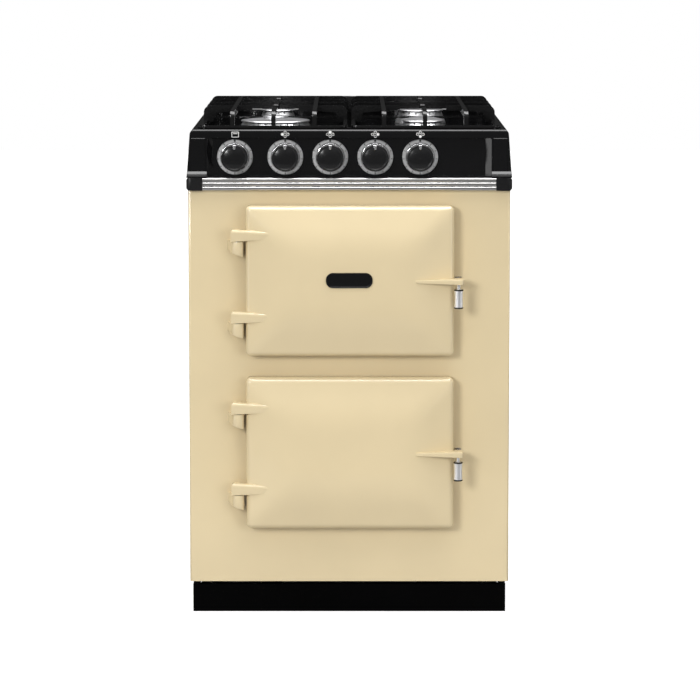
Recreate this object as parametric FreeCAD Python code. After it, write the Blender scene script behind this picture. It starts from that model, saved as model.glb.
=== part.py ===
"""Range cooker with two hinged oven doors, a gas hob and turn knobs, as separate solids.

Working frame: X to the right, Y towards the wall, Z up from the floor, Y = 0 on the front plate's face.
Every piece is moved by the same step before it is written, so that the origin lies on the floor under
the middle of the whole cooker. All lengths are millimetres.
"""

import FreeCAD
import Part
import math
import os

V = FreeCAD.Vector
X_AXIS = V(1, 0, 0)
Y_AXIS = V(0, 1, 0)
Z_AXIS = V(0, 0, 1)

# Cabinet
BODY_WIDTH = 597.0
BODY_DEPTH = 600.0
PLATE_BOTTOM = 60.0
PLATE_HEIGHT = 736.0
PLATE_THICK = 8.0
PLATE_EDGE_ROUND = 4.0
SHEET = 2.0
SIDE_SET_IN = 2.0
SIDE_RETURN = 14.0
BACK_RECESS = 38.0
TRAY_UPSTAND = 22.0
SEAT_GAP = 0.2
CUT_PAST = 1.0

# Plinth and feet
PLINTH_SET_BACK = 8.0
PLINTH_SET_IN = 5.0
PLINTH_FLOOR_GAP = 1.0
PLINTH_TOP_GAP = 7.0
PLINTH_LIP = 16.0
PLINTH_TAB_WIDTH = 40.0
FOOT_PAD_RADIUS = 20.0
FOOT_PAD_HEIGHT = 9.0
FOOT_STUD_RADIUS = 5.0
FOOT_STUD_ABOVE_TRAY = 14.0
FOOT_NUT_RADIUS = 9.0
FOOT_NUT_HEIGHT = 7.0
FOOT_FROM_SIDE = 46.0
FOOT_FROM_FRONT = 48.0
FOOT_FROM_BACK = 84.0
FOOT_HOLE_CLEARANCE = 0.5

# Ovens
OVEN_FROM_SIDE = 128.5
OVEN_BACK_SPACE = 82.0
OVEN_WALL = 6.0
OVEN_FLANGE = 14.0
OVEN_CORNER = 10.0
INSULATION = 24.0
RUNNER_WIRE = 3.0
RUNNER_RAIL_WIRE = 2.6
RUNNER_LEVELS = 3
RUNNER_STEP = 56.0
RUNNER_FIRST = 34.0
RUNNER_REACH = 14.0
RUNNER_FROM_PLATE = 34.0
RUNNER_FROM_BACK = 26.0
SHELF_WIRE = 2.5
SHELF_RODS = 11
SHELF_SIDE_GAP = 1.0
ELEMENT_RADIUS = 3.5
ELEMENT_DROP = 12.0
ELEMENT_PASSES = 5
ELEMENT_FROM_SIDE = 55.0
ELEMENT_FROM_FRONT = 140.0
ELEMENT_FLANGE = 3.0

# Doors
DOOR_SIDE_OVERLAP = 24.0
DOOR_TOP_OVERLAP = 22.0
DOOR_CORNER = 9.0
DOOR_GAP = 5.0
DOOR_EDGE = 30.0
DOOR_EDGE_ROUND = 9.0
DOOR_CROWN = 22.0
DOOR_CROWN_FLAT = 10.0
DOOR_SKIN = 8.0
UPPER_DOOR_BELOW_TOP = 28.0
LOWER_DOOR_ABOVE_BOTTOM = 114.0
DOORS_APART = 50.0
DOOR_LINER_GAP = 6.0
DOOR_LINER_PLUG = 12.0
DOOR_LINER_BORDER = 20.0
DOOR_LINER_SHEET = 1.6
SEAL_RADIUS = 2.3
SEAL_FROM_OPENING = 9.0

# Door hinges
HINGE_FROM_DOOR = 12.5
HINGE_AHEAD = 28.0
HINGE_BARREL_RADIUS = 11.0
HINGE_PIN_RADIUS = 4.0
HINGE_CLEARANCE = 0.05
HINGE_FACE_GAP = 0.4
DOOR_LUG_HEIGHT = 23.0
PLATE_LUG_HEIGHT = 28.0
PLATE_LUG_SLOPE = 11.0
DOOR_LUG_TOP_CAP = 5.0
DOOR_LUG_REACH = 74.0
DOOR_LUG_ROUND = 5.0
HINGE_UPPER_OFFSET = 71.0
HINGE_LOWER_OFFSET = -81.0

# Door handles and catches
HANDLE_LUG_HEIGHT = 10.0
HANDLE_LUG_LENGTH = 88.0
HANDLE_LUG_PAST_EDGE = 17.0
HANDLE_LUG_AHEAD = 60.0
HANDLE_LUG_BACK = 24.0
HANDLE_LUG_OFFSET = -1.5
HANDLE_LUG_ROUND = 4.0
HANDLE_RADIUS = 8.0
HANDLE_LENGTH = 36.0
HANDLE_STEM_RADIUS = 3.0
HANDLE_DROP = 9.0
CATCH_WIDTH = 12.0
CATCH_HEIGHT = 10.0
CATCH_PLATE = 2.0
CATCH_ROLLER_RADIUS = 3.0
BADGE_WIDTH = 86.0
BADGE_HEIGHT = 28.0
BADGE_THICK = 2.4
BADGE_ABOVE_CENTRE = 2.0

# Front trim between the plate and the hob
TRIM_HEIGHT = 24.0
TRIM_AHEAD = 14.0
TRIM_GROOVE = 2.6
TRIM_RIBS = 3
TRIM_BACK = 4.0
TRIM_CAP_WIDTH = 30.0
TRIM_CAP_PAST_BODY = 3.0
TRIM_CAP_AHEAD = 15.5
TRIM_CAP_DEPTH = 46.0
TRIM_CAP_CHAMFER = 4.0
TRIM_CAP_ROUND = 9.0

# Hob surround, control fascia and spill tray
HOB_HEIGHT = 89.0
HOB_SKIN = 2.5
HOB_FRONT_AHEAD = 2.0
HOB_FLARE_AHEAD = 13.0
HOB_FLARE_HEIGHT = 10.0
HOB_CHEEK_WIDTH = 25.0
HOB_CHEEK_FROM_SIDE = 6.5
HOB_CHEEK_AHEAD = 3.0
HOB_CHEEK_ROUND = 2.0
HOB_TOP_ROUND = 5.0
HOB_SIDE_ROUND = 10.0
HOB_BOTTOM_PAST_BODY = 2.5
HOB_TOP_SET_IN = 4.0
FASCIA_FROM_SIDE = 35.0
FASCIA_TOP_BAND = 16.0
FASCIA_FLOOR_GAP = 0.4
FASCIA_BEVEL = 11.0
FASCIA_DEPTH = 9.0
FASCIA_SHEET = 1.6
FASCIA_RIM = 5.0
TRAY_FROM_SIDE = 22.5
TRAY_FRONT = 30.0
TRAY_BACK_MARGIN = 52.0
TRAY_DEPTH = 14.0
TRAY_FLANGE = 7.0
TRAY_SHEET = 1.5
TRAY_CORNER = 22.0

# Knobs, taps and gas ways
KNOB_BELOW_MIDDLE = 7.5
OVEN_KNOB_SHARE = 0.355
FIRST_TAP_KNOB_SHARE = 0.1985
TAP_KNOB_PITCH_SHARE = 0.1395
TAP_KNOBS = 4
KNOB_RADIUS = 24.8
KNOB_LENGTH = 23.0
KNOB_RIM = 2.4
KNOB_DOME = 3.5
KNOB_BACK_GAP = 5.5
KNOB_BORE_DEPTH = 15.0
POINTER_WIDTH = 5.0
POINTER_LENGTH = 8.0
POINTER_RISE = 1.2
BEZEL_RADIUS = 33.2
BEZEL_HOLE_RADIUS = 26.4
BEZEL_THICK = 3.0
BEZEL_BEVEL = 1.2
SPINDLE_RADIUS = 4.0
SPINDLE_CLEARANCE = 0.05
SPINDLE_PANEL_CLEARANCE = 1.5
KNOB_PUSH = 4.0
TAP_FRONT_GAP = 18.0
TAP_WIDTH = 26.0
TAP_HEIGHT = 30.0
TAP_LENGTH = 42.0
SPINDLE_IN_TAP = 12.0
ROD_RADIUS = 2.5
ROD_LENGTH = 14.0
MANIFOLD_RADIUS = 9.0
MANIFOLD_PAST_TAPS = 26.0
THERMOSTAT_WIDTH = 46.0
THERMOSTAT_HEIGHT = 40.0
FEED_RADIUS = 4.0
FEED_BEND = 14.0
FEED_LEVEL_STEP = 9.0
FEED_ABOVE_DECK = 16.0

# Burners: one row per burner, in the order of their knobs
FRONT_BURNER_Y = 190.0
REAR_BURNER_FROM_BACK = 175.0
WOK_CAP_RADIUS = 66.0
SMALL_CAP_RADIUS = 33.0
LARGE_CAP_RADIUS = 45.0
MEDIUM_CAP_RADIUS = 40.0
BURNER_SKIRT_PAST_CAP = 5.0
BURNER_NECK_INSET = 4.0
BURNER_NECK_DEPTH = 22.0
FRONT_BURNER_HEIGHT = 17.0
REAR_BURNER_HEIGHT = 24.0
WOK_INNER_RADIUS = 24.0
WOK_INNER_RISE = 5.0
BURNER_PORT_WIDTH = 2.6
BURNER_PORT_DEPTH = 5.0
BURNER_PORT_PITCH = 13.0
CAP_RIM = 3.0
CAP_DOME = 7.0
WOK_CAP_DOME = 4.0
CAP_SPIGOT_DEPTH = 4.0
CAP_SPIGOT_INSET = 9.0
JET_RADIUS = 9.0
JET_HEIGHT = 12.0
PROBE_RADIUS = 2.6
PROBE_TIP_RADIUS = 1.0
PROBE_FROM_SKIRT = 5.0
PROBE_BELOW_TRAY = 12.0
PROBE_ABOVE_TRAY = 11.0
PROBE_TIP = 7.0
PROBE_HOLE_CLEARANCE = 0.2

# Pan supports
SUPPORT_FROM_SIDE = 21.5
SUPPORT_FROM_MIDDLE = 4.0
SUPPORT_FRONT = 14.0
SUPPORT_FROM_BACK = 52.0
SUPPORT_HEIGHT = 33.0
SUPPORT_BAR = 7.0
SUPPORT_FRAME_HEIGHT = 4.0
SUPPORT_FOOT_GAP = 0.3
SUPPORT_CORNER = 12.0
FINGER_THICK = 8.0
FINGER_LEG = 22.0
FINGER_DEPTH = 13.0
FINGER_NOSE = 6.0
FINGER_SHOULDER = 12.0
FINGER_TIP_RADIUS = 44.0
FINGER_SIDE_SHARE = 0.2784

# Back panel services
INLET_RADIUS = 10.48
INLET_LENGTH = 24.0
INLET_NECK_RADIUS = 9.0
INLET_NUT_RADIUS = 15.0
INLET_NUT = 4.0
INLET_BODY = 30.0
INLET_FROM_SIDE = 63.5
INLET_BELOW_TOP = 96.0
TERMINAL_WIDTH = 110.0
TERMINAL_HEIGHT = 80.0
TERMINAL_DEPTH = 34.0
TERMINAL_FROM_SIDE = 108.5
TERMINAL_ABOVE_BOTTOM = 120.0
CABLE_RADIUS = 10.0
VENT_SLOTS = 9
VENT_LENGTH = 60.0
VENT_WIDTH = 5.0
VENT_PITCH = 14.0
VENT_BELOW_TOP = 236.0
SCREW_RADIUS = 4.0
SCREW_HEAD = 2.2

# Places that follow from the sizes above
HALF_WIDTH = BODY_WIDTH / 2
SIDE_OUTER = HALF_WIDTH - SIDE_SET_IN
SIDE_INNER = SIDE_OUTER - SHEET
BACK_FACE = BODY_DEPTH - BACK_RECESS
PLATE_TOP = PLATE_BOTTOM + PLATE_HEIGHT
TRIM_TOP = PLATE_TOP + TRIM_HEIGHT
HOB_TOP = TRIM_TOP + HOB_HEIGHT
DOOR_HEIGHT = (PLATE_HEIGHT - UPPER_DOOR_BELOW_TOP - DOORS_APART - LOWER_DOOR_ABOVE_BOTTOM) / 2
UPPER_DOOR_CENTRE = PLATE_TOP - UPPER_DOOR_BELOW_TOP - DOOR_HEIGHT / 2
LOWER_DOOR_CENTRE = PLATE_BOTTOM + LOWER_DOOR_ABOVE_BOTTOM + DOOR_HEIGHT / 2
OVEN_OPENING_WIDTH = BODY_WIDTH - 2 * OVEN_FROM_SIDE
OVEN_OPENING_HEIGHT = DOOR_HEIGHT - 2 * DOOR_TOP_OVERLAP
OVEN_DEPTH = BACK_FACE - SHEET - OVEN_BACK_SPACE - INSULATION - OVEN_WALL - PLATE_THICK
RUNNER_DEPTH = OVEN_DEPTH - RUNNER_FROM_PLATE - RUNNER_FROM_BACK
ELEMENT_REACH = OVEN_DEPTH - ELEMENT_FROM_FRONT
ELEMENT_SPAN = OVEN_OPENING_WIDTH - 2 * ELEMENT_FROM_SIDE
DOOR_WIDTH = OVEN_OPENING_WIDTH + 2 * DOOR_SIDE_OVERLAP
DOOR_CROWN_REACH = DOOR_HEIGHT / 2 - DOOR_CROWN_FLAT
DOOR_BACK = -DOOR_GAP
DOOR_RIM_FRONT = DOOR_BACK - DOOR_EDGE
DOOR_CROWN_FRONT = DOOR_RIM_FRONT - DOOR_CROWN
HINGE_X = -DOOR_WIDTH / 2 - HINGE_FROM_DOOR
HANDLE_X = DOOR_WIDTH / 2 + HANDLE_LUG_PAST_EDGE - HANDLE_RADIUS - 1.0
FASCIA_WIDTH = BODY_WIDTH - 2 * FASCIA_FROM_SIDE
FASCIA_FACE = -HOB_FRONT_AHEAD + HOB_SKIN + FASCIA_DEPTH
FASCIA_REAR = FASCIA_FACE + FASCIA_SHEET
TAP_FRONT = FASCIA_REAR + TAP_FRONT_GAP
TRAY_WIDTH = BODY_WIDTH - 2 * TRAY_FROM_SIDE
TRAY_FLOOR = HOB_TOP - TRAY_DEPTH
TRAY_REAR = BODY_DEPTH - TRAY_BACK_MARGIN
KNOB_HEIGHT = TRIM_TOP + HOB_HEIGHT / 2 - KNOB_BELOW_MIDDLE
FEED_LOWEST = PLATE_TOP + FEED_ABOVE_DECK
OVEN_KNOB_X = -BODY_WIDTH * OVEN_KNOB_SHARE
FIRST_TAP_KNOB_X = -BODY_WIDTH * FIRST_TAP_KNOB_SHARE
TAP_KNOB_PITCH = BODY_WIDTH * TAP_KNOB_PITCH_SHARE
KNOB_BACK = FASCIA_FACE - KNOB_BACK_GAP
KNOB_FRONT = KNOB_BACK - KNOB_LENGTH
SPINDLE_END = TAP_FRONT + SPINDLE_IN_TAP
MANIFOLD_Y = TAP_FRONT + TAP_LENGTH + MANIFOLD_RADIUS
TAP_KNOB_XS = [FIRST_TAP_KNOB_X + i * TAP_KNOB_PITCH for i in range(TAP_KNOBS)]
SUPPORT_WIDTH = HALF_WIDTH - SUPPORT_FROM_MIDDLE - SUPPORT_FROM_SIDE
SUPPORT_BACK = BODY_DEPTH - SUPPORT_FROM_BACK
SUPPORT_TOP = HOB_TOP + SUPPORT_HEIGHT
FINGER_SIDE_STEP = SUPPORT_WIDTH * FINGER_SIDE_SHARE
BURNER_X = SUPPORT_FROM_MIDDLE + SUPPORT_WIDTH / 2
REAR_BURNER_Y = BODY_DEPTH - REAR_BURNER_FROM_BACK
SUPPORT_MID_Y = (FRONT_BURNER_Y + REAR_BURNER_Y) / 2 + (WOK_CAP_RADIUS - SMALL_CAP_RADIUS) / 4
INLET_X = HALF_WIDTH - INLET_FROM_SIDE
INLET_HEIGHT = PLATE_TOP - INLET_BELOW_TOP
TERMINAL_X = TERMINAL_FROM_SIDE - HALF_WIDTH
TERMINAL_BOTTOM = PLATE_BOTTOM + TERMINAL_ABOVE_BOTTOM
VENT_BOTTOM = PLATE_TOP - VENT_BELOW_TOP
BURNERS = [
    ("front_left", -BURNER_X, FRONT_BURNER_Y, WOK_CAP_RADIUS),
    ("rear_left", -BURNER_X, REAR_BURNER_Y, SMALL_CAP_RADIUS),
    ("rear_right", BURNER_X, REAR_BURNER_Y, LARGE_CAP_RADIUS),
    ("front_right", BURNER_X, FRONT_BURNER_Y, MEDIUM_CAP_RADIUS),
]
DOORS = [("upper", UPPER_DOOR_CENTRE), ("lower", LOWER_DOOR_CENTRE)]
FRONT_MOST = -HANDLE_LUG_AHEAD
REAR_MOST = BODY_DEPTH
TO_ORIGIN = V(0, -(FRONT_MOST + REAR_MOST) / 2, 0)


def box(x0, x1, y0, y1, z0, z1):
    """A box between two corners."""
    return Part.makeBox(x1 - x0, y1 - y0, z1 - z0, V(x0, y0, z0))


def rod(radius, start, end):
    """A round bar from one point to another."""
    along = end - start
    return Part.makeCylinder(radius, along.Length, start, along)


def face_of(points):
    """A flat face through straight-sided points."""
    return Part.Face(Part.makePolygon(points + [points[0]]))


def prism(points, along):
    """A straight-sided outline pushed along a vector."""
    return face_of(points).extrude(along)


def rounded_along(shape, axis, radius, keep=None):
    """Rounds the straight edges that lie along an axis, or those of them that keep() accepts."""
    edges = []
    for edge in shape.Edges:
        if not isinstance(edge.Curve, Part.Line):
            continue
        if abs(abs(edge.tangentAt(edge.FirstParameter).dot(axis)) - 1) > 1e-6:
            continue
        if keep is None or keep(edge.CenterOfMass):
            edges.append(edge)
    return shape.makeFillet(radius, edges)


def rounded_block(x0, x1, y0, y1, z0, z1, radius, axis):
    """A box with its four edges along one axis rounded."""
    return rounded_along(box(x0, x1, y0, y1, z0, z1), axis, radius)


def joined(shapes):
    """One solid out of overlapping shapes."""
    first = shapes[0]
    return first.multiFuse(shapes[1:]).removeSplitter()


def revolved(outline, centre, axis):
    """A solid turned from a closed outline of 3-D points around an axis."""
    return face_of(outline).revolve(centre, axis, 360)


def chain(edges):
    """One face inside a closed run of edges."""
    return Part.Face(Part.Wire([e.toShape() for e in edges]))


def arc(a, b, c):
    """The arc from a to c through b."""
    return Part.Arc(a, b, c)


def line(a, b):
    """The straight edge from a to b."""
    return Part.LineSegment(a, b)


def dome_middle(radius, rise):
    """A point half way up a domed cap: its distance from the axis and its drop below the top."""
    ball = (radius * radius + rise * rise) / (2 * rise)
    half_angle = math.asin(radius / ball) / 2
    return ball * math.sin(half_angle), ball * (1 - math.cos(half_angle))


def piped(points, bend, radius):
    """A round tube along straight runs joined by tangent arcs."""
    edges = []
    start = points[0]
    for before, corner, after in zip(points, points[1:], points[2:]):
        inwards = (before - corner).normalize()
        outwards = (after - corner).normalize()
        turn = math.pi - inwards.getAngle(outwards)
        back = bend * math.tan(turn / 2)
        enter = corner + inwards * back
        leave = corner + outwards * back
        middle_way = (inwards + outwards).normalize()
        centre = corner + middle_way * (bend / math.cos(turn / 2))
        edges.append(Part.LineSegment(start, enter))
        edges.append(Part.Arc(enter, centre - middle_way * bend, leave))
        start = leave
    edges.append(Part.LineSegment(start, points[-1]))
    path = Part.Wire([e.toShape() for e in edges])
    first_way = (points[1] - points[0]).normalize()
    ring = Part.Wire(Part.makeCircle(radius, points[0], first_way))
    return path.makePipeShell([ring], True, False)


# Cabinet pieces


def oven_heights(centre):
    """Lowest and highest point of the oven opening behind one door."""
    return centre - OVEN_OPENING_HEIGHT / 2, centre + OVEN_OPENING_HEIGHT / 2


def hinge_levels(centre):
    """Height of the face between plate lug and door lug at a door's two hinges."""
    return [centre + HINGE_UPPER_OFFSET, centre + HINGE_LOWER_OFFSET]


def plate_lug(level):
    """A cast lug on the front plate that carries one hinge pin."""
    low, high = level - PLATE_LUG_HEIGHT, level
    r = HINGE_BARREL_RADIUS
    barrel = Part.makeCylinder(r, PLATE_LUG_HEIGHT, V(HINGE_X, -HINGE_AHEAD, low))
    arm = box(HINGE_X - r, HINGE_X + r, -HINGE_AHEAD, PLATE_THICK / 2, low, high)
    foot_reach = r * 0.8
    foot = prism(
        [
            V(HINGE_X - r - foot_reach, PLATE_THICK / 2, low),
            V(HINGE_X + r, PLATE_THICK / 2, low),
            V(HINGE_X + r, -HINGE_AHEAD / 2, low),
            V(HINGE_X - r, -HINGE_AHEAD, low),
            V(HINGE_X - r - foot_reach, 0, low),
        ],
        V(0, 0, PLATE_LUG_HEIGHT),
    )
    lug = joined([barrel, arm, foot])
    left, right = HINGE_X - r - foot_reach, HINGE_X + r
    under = prism(
        [
            V(left, -HINGE_AHEAD - r, low),
            V(right, -HINGE_AHEAD - r, low),
            V(left, -HINGE_AHEAD - r, low + PLATE_LUG_SLOPE),
        ],
        V(0, HINGE_AHEAD + r, 0),
    )
    return lug.cut(under)


def pin_hole(level):
    """The hole in a plate lug that a hinge pin stands in."""
    depth = PLATE_LUG_HEIGHT * 0.75
    return Part.makeCylinder(
        HINGE_PIN_RADIUS + HINGE_CLEARANCE, depth, V(HINGE_X, -HINGE_AHEAD, level - depth)
    )


def front_plate():
    """The enamelled front casting with two oven openings and the four plate lugs."""
    plate = box(-HALF_WIDTH, HALF_WIDTH, 0, PLATE_THICK, PLATE_BOTTOM, PLATE_TOP)
    plate = rounded_along(plate, Z_AXIS, PLATE_EDGE_ROUND, lambda p: p.y < PLATE_THICK / 2)
    for _, centre in DOORS:
        low, high = oven_heights(centre)
        half = OVEN_OPENING_WIDTH / 2
        plate = plate.cut(
            rounded_block(-half, half, -CUT_PAST, PLATE_THICK + CUT_PAST, low, high, OVEN_CORNER, Y_AXIS)
        )
    levels = [level for _, centre in DOORS for level in hinge_levels(centre)]
    plate = joined([plate] + [plate_lug(level) for level in levels])
    for level in levels:
        plate = plate.cut(pin_hole(level))
    return plate


def side_panel(side):
    """A folded side sheet with returns behind the front plate and around the back; side is -1 or 1."""
    outer, inner, tip = SIDE_OUTER, SIDE_INNER, SIDE_OUTER - SIDE_RETURN
    outline = [
        (outer, PLATE_THICK),
        (outer, BODY_DEPTH),
        (tip, BODY_DEPTH),
        (tip, BODY_DEPTH - SHEET),
        (inner, BODY_DEPTH - SHEET),
        (inner, PLATE_THICK + SHEET),
        (tip, PLATE_THICK + SHEET),
        (tip, PLATE_THICK),
    ]
    points = [V(side * x, y, PLATE_BOTTOM) for x, y in outline]
    return prism(points, V(0, 0, PLATE_TOP - PLATE_BOTTOM))


def foot_places():
    """Where the four feet stand, in plan."""
    x = HALF_WIDTH - FOOT_FROM_SIDE
    return [(sx * x, y) for sx in (-1, 1) for y in (FOOT_FROM_FRONT, BODY_DEPTH - FOOT_FROM_BACK)]


def base_tray():
    """The folded floor of the cabinet, which the feet screw into."""
    front, back = PLATE_THICK + SHEET, BACK_FACE - SHEET
    tray = box(-SIDE_INNER, SIDE_INNER, front, back, PLATE_BOTTOM, PLATE_BOTTOM + TRAY_UPSTAND)
    hollow = box(
        -SIDE_INNER + SHEET,
        SIDE_INNER - SHEET,
        front + SHEET,
        back - SHEET,
        PLATE_BOTTOM + SHEET,
        PLATE_BOTTOM + TRAY_UPSTAND + CUT_PAST,
    )
    tray = tray.cut(hollow)
    for x, y in foot_places():
        hole = FOOT_STUD_RADIUS + FOOT_HOLE_CLEARANCE
        tray = tray.cut(Part.makeCylinder(hole, SHEET + 2 * CUT_PAST, V(x, y, PLATE_BOTTOM - CUT_PAST)))
    return tray


def back_panel():
    """The recessed rear sheet with side flanges, vent slots and the hole for the gas inlet."""
    rear = BODY_DEPTH - SHEET
    panel = box(-SIDE_INNER, SIDE_INNER, BACK_FACE - SHEET, rear, PLATE_BOTTOM, PLATE_TOP)
    half = SIDE_INNER - SHEET
    low, high = PLATE_BOTTOM - CUT_PAST, PLATE_TOP + CUT_PAST
    panel = panel.cut(box(-half, half, BACK_FACE, rear + CUT_PAST, low, high))
    for side in (-1, 1):
        for i in range(VENT_SLOTS):
            low = VENT_BOTTOM + i * VENT_PITCH
            near = side * (VENT_LENGTH / 4)
            far = side * (VENT_LENGTH * 5 / 4)
            slot = box(
                min(near, far),
                max(near, far),
                BACK_FACE - SHEET - CUT_PAST,
                BACK_FACE + CUT_PAST,
                low,
                low + VENT_WIDTH,
            )
            panel = panel.cut(slot)
    hole = V(INLET_X, BACK_FACE - SHEET - CUT_PAST, INLET_HEIGHT)
    return panel.cut(Part.makeCylinder(INLET_NECK_RADIUS + SEAT_GAP, SHEET + 2 * CUT_PAST, hole, Y_AXIS))


def plinth():
    """The black kick board with side returns, a top lip and two tabs under the base tray."""
    half = HALF_WIDTH - PLINTH_SET_IN
    low, high = PLINTH_FLOOR_GAP, PLATE_BOTTOM - PLINTH_TOP_GAP
    front, back = PLINTH_SET_BACK, BODY_DEPTH - PLINTH_SET_BACK
    board = box(-half, half, front, front + SHEET, low, high)
    lip = box(-half, half, front, front + PLINTH_LIP, high - SHEET, high)
    pieces = [board, lip]
    for side in (-1, 1):
        inner, outer = sorted((side * half, side * (half - SHEET)))
        pieces.append(box(inner, outer, front, back, low, high))
        middle = side * half / 2
        pieces.append(
            box(
                middle - PLINTH_TAB_WIDTH / 2,
                middle + PLINTH_TAB_WIDTH / 2,
                front + PLINTH_LIP - SHEET,
                front + PLINTH_LIP,
                high - SHEET,
                PLATE_BOTTOM - SEAT_GAP,
            )
        )
    return joined(pieces)


def levelling_feet():
    """Four screw feet: pad, stud and lock nut in one piece each."""
    feet = []
    for x, y in foot_places():
        pad = Part.makeCone(FOOT_PAD_RADIUS, FOOT_PAD_RADIUS * 0.8, FOOT_PAD_HEIGHT, V(x, y, 0))
        stud = rod(FOOT_STUD_RADIUS, V(x, y, 0), V(x, y, PLATE_BOTTOM + FOOT_STUD_ABOVE_TRAY))
        corners = [
            V(
                x + FOOT_NUT_RADIUS * math.cos(math.radians(60 * i)),
                y + FOOT_NUT_RADIUS * math.sin(math.radians(60 * i)),
                PLATE_BOTTOM - FOOT_NUT_HEIGHT,
            )
            for i in range(6)
        ]
        nut = prism(corners, V(0, 0, FOOT_NUT_HEIGHT))
        feet.append(joined([pad, stud, nut]))
    return feet


# Oven pieces


def oven_liner(centre):
    """A cast oven box, open at the front, with the flange that bolts behind the plate."""
    low, high = oven_heights(centre)
    half = OVEN_OPENING_WIDTH / 2
    w, f = OVEN_WALL, OVEN_FLANGE
    front, back = PLATE_THICK, PLATE_THICK + OVEN_DEPTH
    outer = box(-half - w, half + w, front, back + w, low - w, high + w)
    flange = box(-half - f, half + f, front, front + w, low - f, high + f)
    inner = rounded_block(-half, half, front - CUT_PAST, back, low, high, OVEN_CORNER, Y_AXIS)
    return joined([outer, flange]).cut(inner)


def oven_insulation():
    """Mineral wool jackets around the two oven boxes."""
    jackets = []
    for _, centre in DOORS:
        low, high = oven_heights(centre)
        half = OVEN_OPENING_WIDTH / 2 + OVEN_WALL
        front, back = PLATE_THICK + OVEN_WALL, PLATE_THICK + OVEN_DEPTH + OVEN_WALL
        t = INSULATION
        low, high = low - OVEN_WALL, high + OVEN_WALL
        jacket = box(-half - t, half + t, front, back + t, low - t, high + t)
        jackets.append(jacket.cut(box(-half, half, front - CUT_PAST, back, low, high)))
    return jackets


def runner_heights(centre):
    """Heights of the shelf positions in one oven."""
    low, _ = oven_heights(centre)
    return [low + RUNNER_FIRST + i * RUNNER_STEP for i in range(RUNNER_LEVELS)]


def shelf_runners():
    """A wire ladder on each side wall of each oven, with a runner for every shelf position."""
    ladders = []
    front = PLATE_THICK + RUNNER_FROM_PLATE
    back = front + RUNNER_DEPTH
    for _, centre in DOORS:
        low, high = oven_heights(centre)
        for side in (-1, 1):
            wall = side * (OVEN_OPENING_WIDTH / 2 - RUNNER_WIRE - SEAT_GAP)
            reach = wall - side * RUNNER_REACH
            wires = []
            for y in (front + RUNNER_REACH, back - RUNNER_REACH):
                wires.append(
                    rod(RUNNER_WIRE, V(wall, y, low + OVEN_CORNER), V(wall, y, high - OVEN_CORNER))
                )
            middle = (front + back) / 2
            for z in runner_heights(centre):
                loop = [
                    V(wall, middle, z),
                    V(wall, front, z),
                    V(reach, front, z),
                    V(reach, back, z),
                    V(wall, back, z),
                    V(wall, middle, z),
                ]
                wires.append(piped(loop, RUNNER_WIRE * 2, RUNNER_RAIL_WIRE))
            ladders.append(joined(wires))
    return ladders


def oven_shelf(centre):
    """A wire grid shelf lying on the lowest runners of one oven."""
    z = runner_heights(centre)[0] + RUNNER_RAIL_WIRE + SHELF_WIRE + SEAT_GAP
    half = OVEN_OPENING_WIDTH / 2 - 2 * RUNNER_WIRE - SHELF_SIDE_GAP - SHELF_WIRE - SEAT_GAP
    front = PLATE_THICK + RUNNER_FROM_PLATE
    back = front + RUNNER_DEPTH
    corners = [V(0, front, z), V(half, front, z), V(half, back, z), V(-half, back, z), V(-half, front, z)]
    wires = [piped(corners + [V(0, front, z)], SHELF_WIRE * 4, SHELF_WIRE)]
    for i in range(SHELF_RODS):
        x = -half + (i + 1) * 2 * half / (SHELF_RODS + 1)
        wires.append(rod(SHELF_WIRE * 0.8, V(x, front, z), V(x, back, z)))
    return joined(wires)


def oven_element(centre):
    """A serpentine heating tube under one oven's roof, held by a flange on the rear wall."""
    _, high = oven_heights(centre)
    z = high - ELEMENT_DROP
    back = PLATE_THICK + OVEN_DEPTH - SEAT_GAP
    front = back - ELEMENT_REACH
    turn_back = back - ELEMENT_REACH / 6
    step = ELEMENT_SPAN / ELEMENT_PASSES
    xs = [-ELEMENT_SPAN / 2 + i * step for i in range(ELEMENT_PASSES + 1)]
    points = [V(xs[0], back - ELEMENT_FLANGE / 2, z)]
    for i, x in enumerate(xs[:-1]):
        end = front if i % 2 == 0 else turn_back
        points.append(V(x, end, z))
        points.append(V(xs[i + 1], end, z))
    points.append(V(xs[-1], back - ELEMENT_FLANGE / 2, z))
    tube = piped(points, step * 0.4, ELEMENT_RADIUS)
    plate_half = ELEMENT_SPAN / 2 + ELEMENT_DROP
    flange = box(
        -plate_half, plate_half, back - ELEMENT_FLANGE, back, z - ELEMENT_DROP * 0.7, z + ELEMENT_DROP * 0.7
    )
    return joined([tube, flange])


# Doors


def crown_profile(half, back, rim, edge_round, crown, reach):
    """Half-symmetric outline of a crowned door as (across, depth) edges, in the XY plane at Z 0."""
    slope_radius = (reach * reach + crown * crown) / (2 * crown)
    top = rim - crown
    inner = half - reach
    centre = V(inner, top + slope_radius, 0)
    tangent = math.asin((reach - edge_round) / slope_radius)
    join = V(centre.x + slope_radius * math.sin(tangent), centre.y - slope_radius * math.cos(tangent), 0)
    middle = tangent / 2
    on_slope = V(centre.x + slope_radius * math.sin(middle), centre.y - slope_radius * math.cos(middle), 0)
    side = V(half, join.y + edge_round, 0)
    knee = V(half - edge_round * 0.27, join.y + edge_round * 0.21, 0)

    def mirrored(p):
        return V(-p.x, p.y, p.z)

    inner_point = V(inner, top, 0)
    edges = [
        line(V(-half, back, 0), V(half, back, 0)),
        line(V(half, back, 0), side),
        arc(side, knee, join),
        arc(join, on_slope, inner_point),
    ]
    if inner > 1e-6:
        edges.append(line(inner_point, mirrored(inner_point)))
    edges += [
        arc(mirrored(inner_point), mirrored(on_slope), mirrored(join)),
        arc(mirrored(join), mirrored(knee), mirrored(side)),
        line(mirrored(side), V(-half, back, 0)),
    ]
    return chain(edges)


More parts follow.
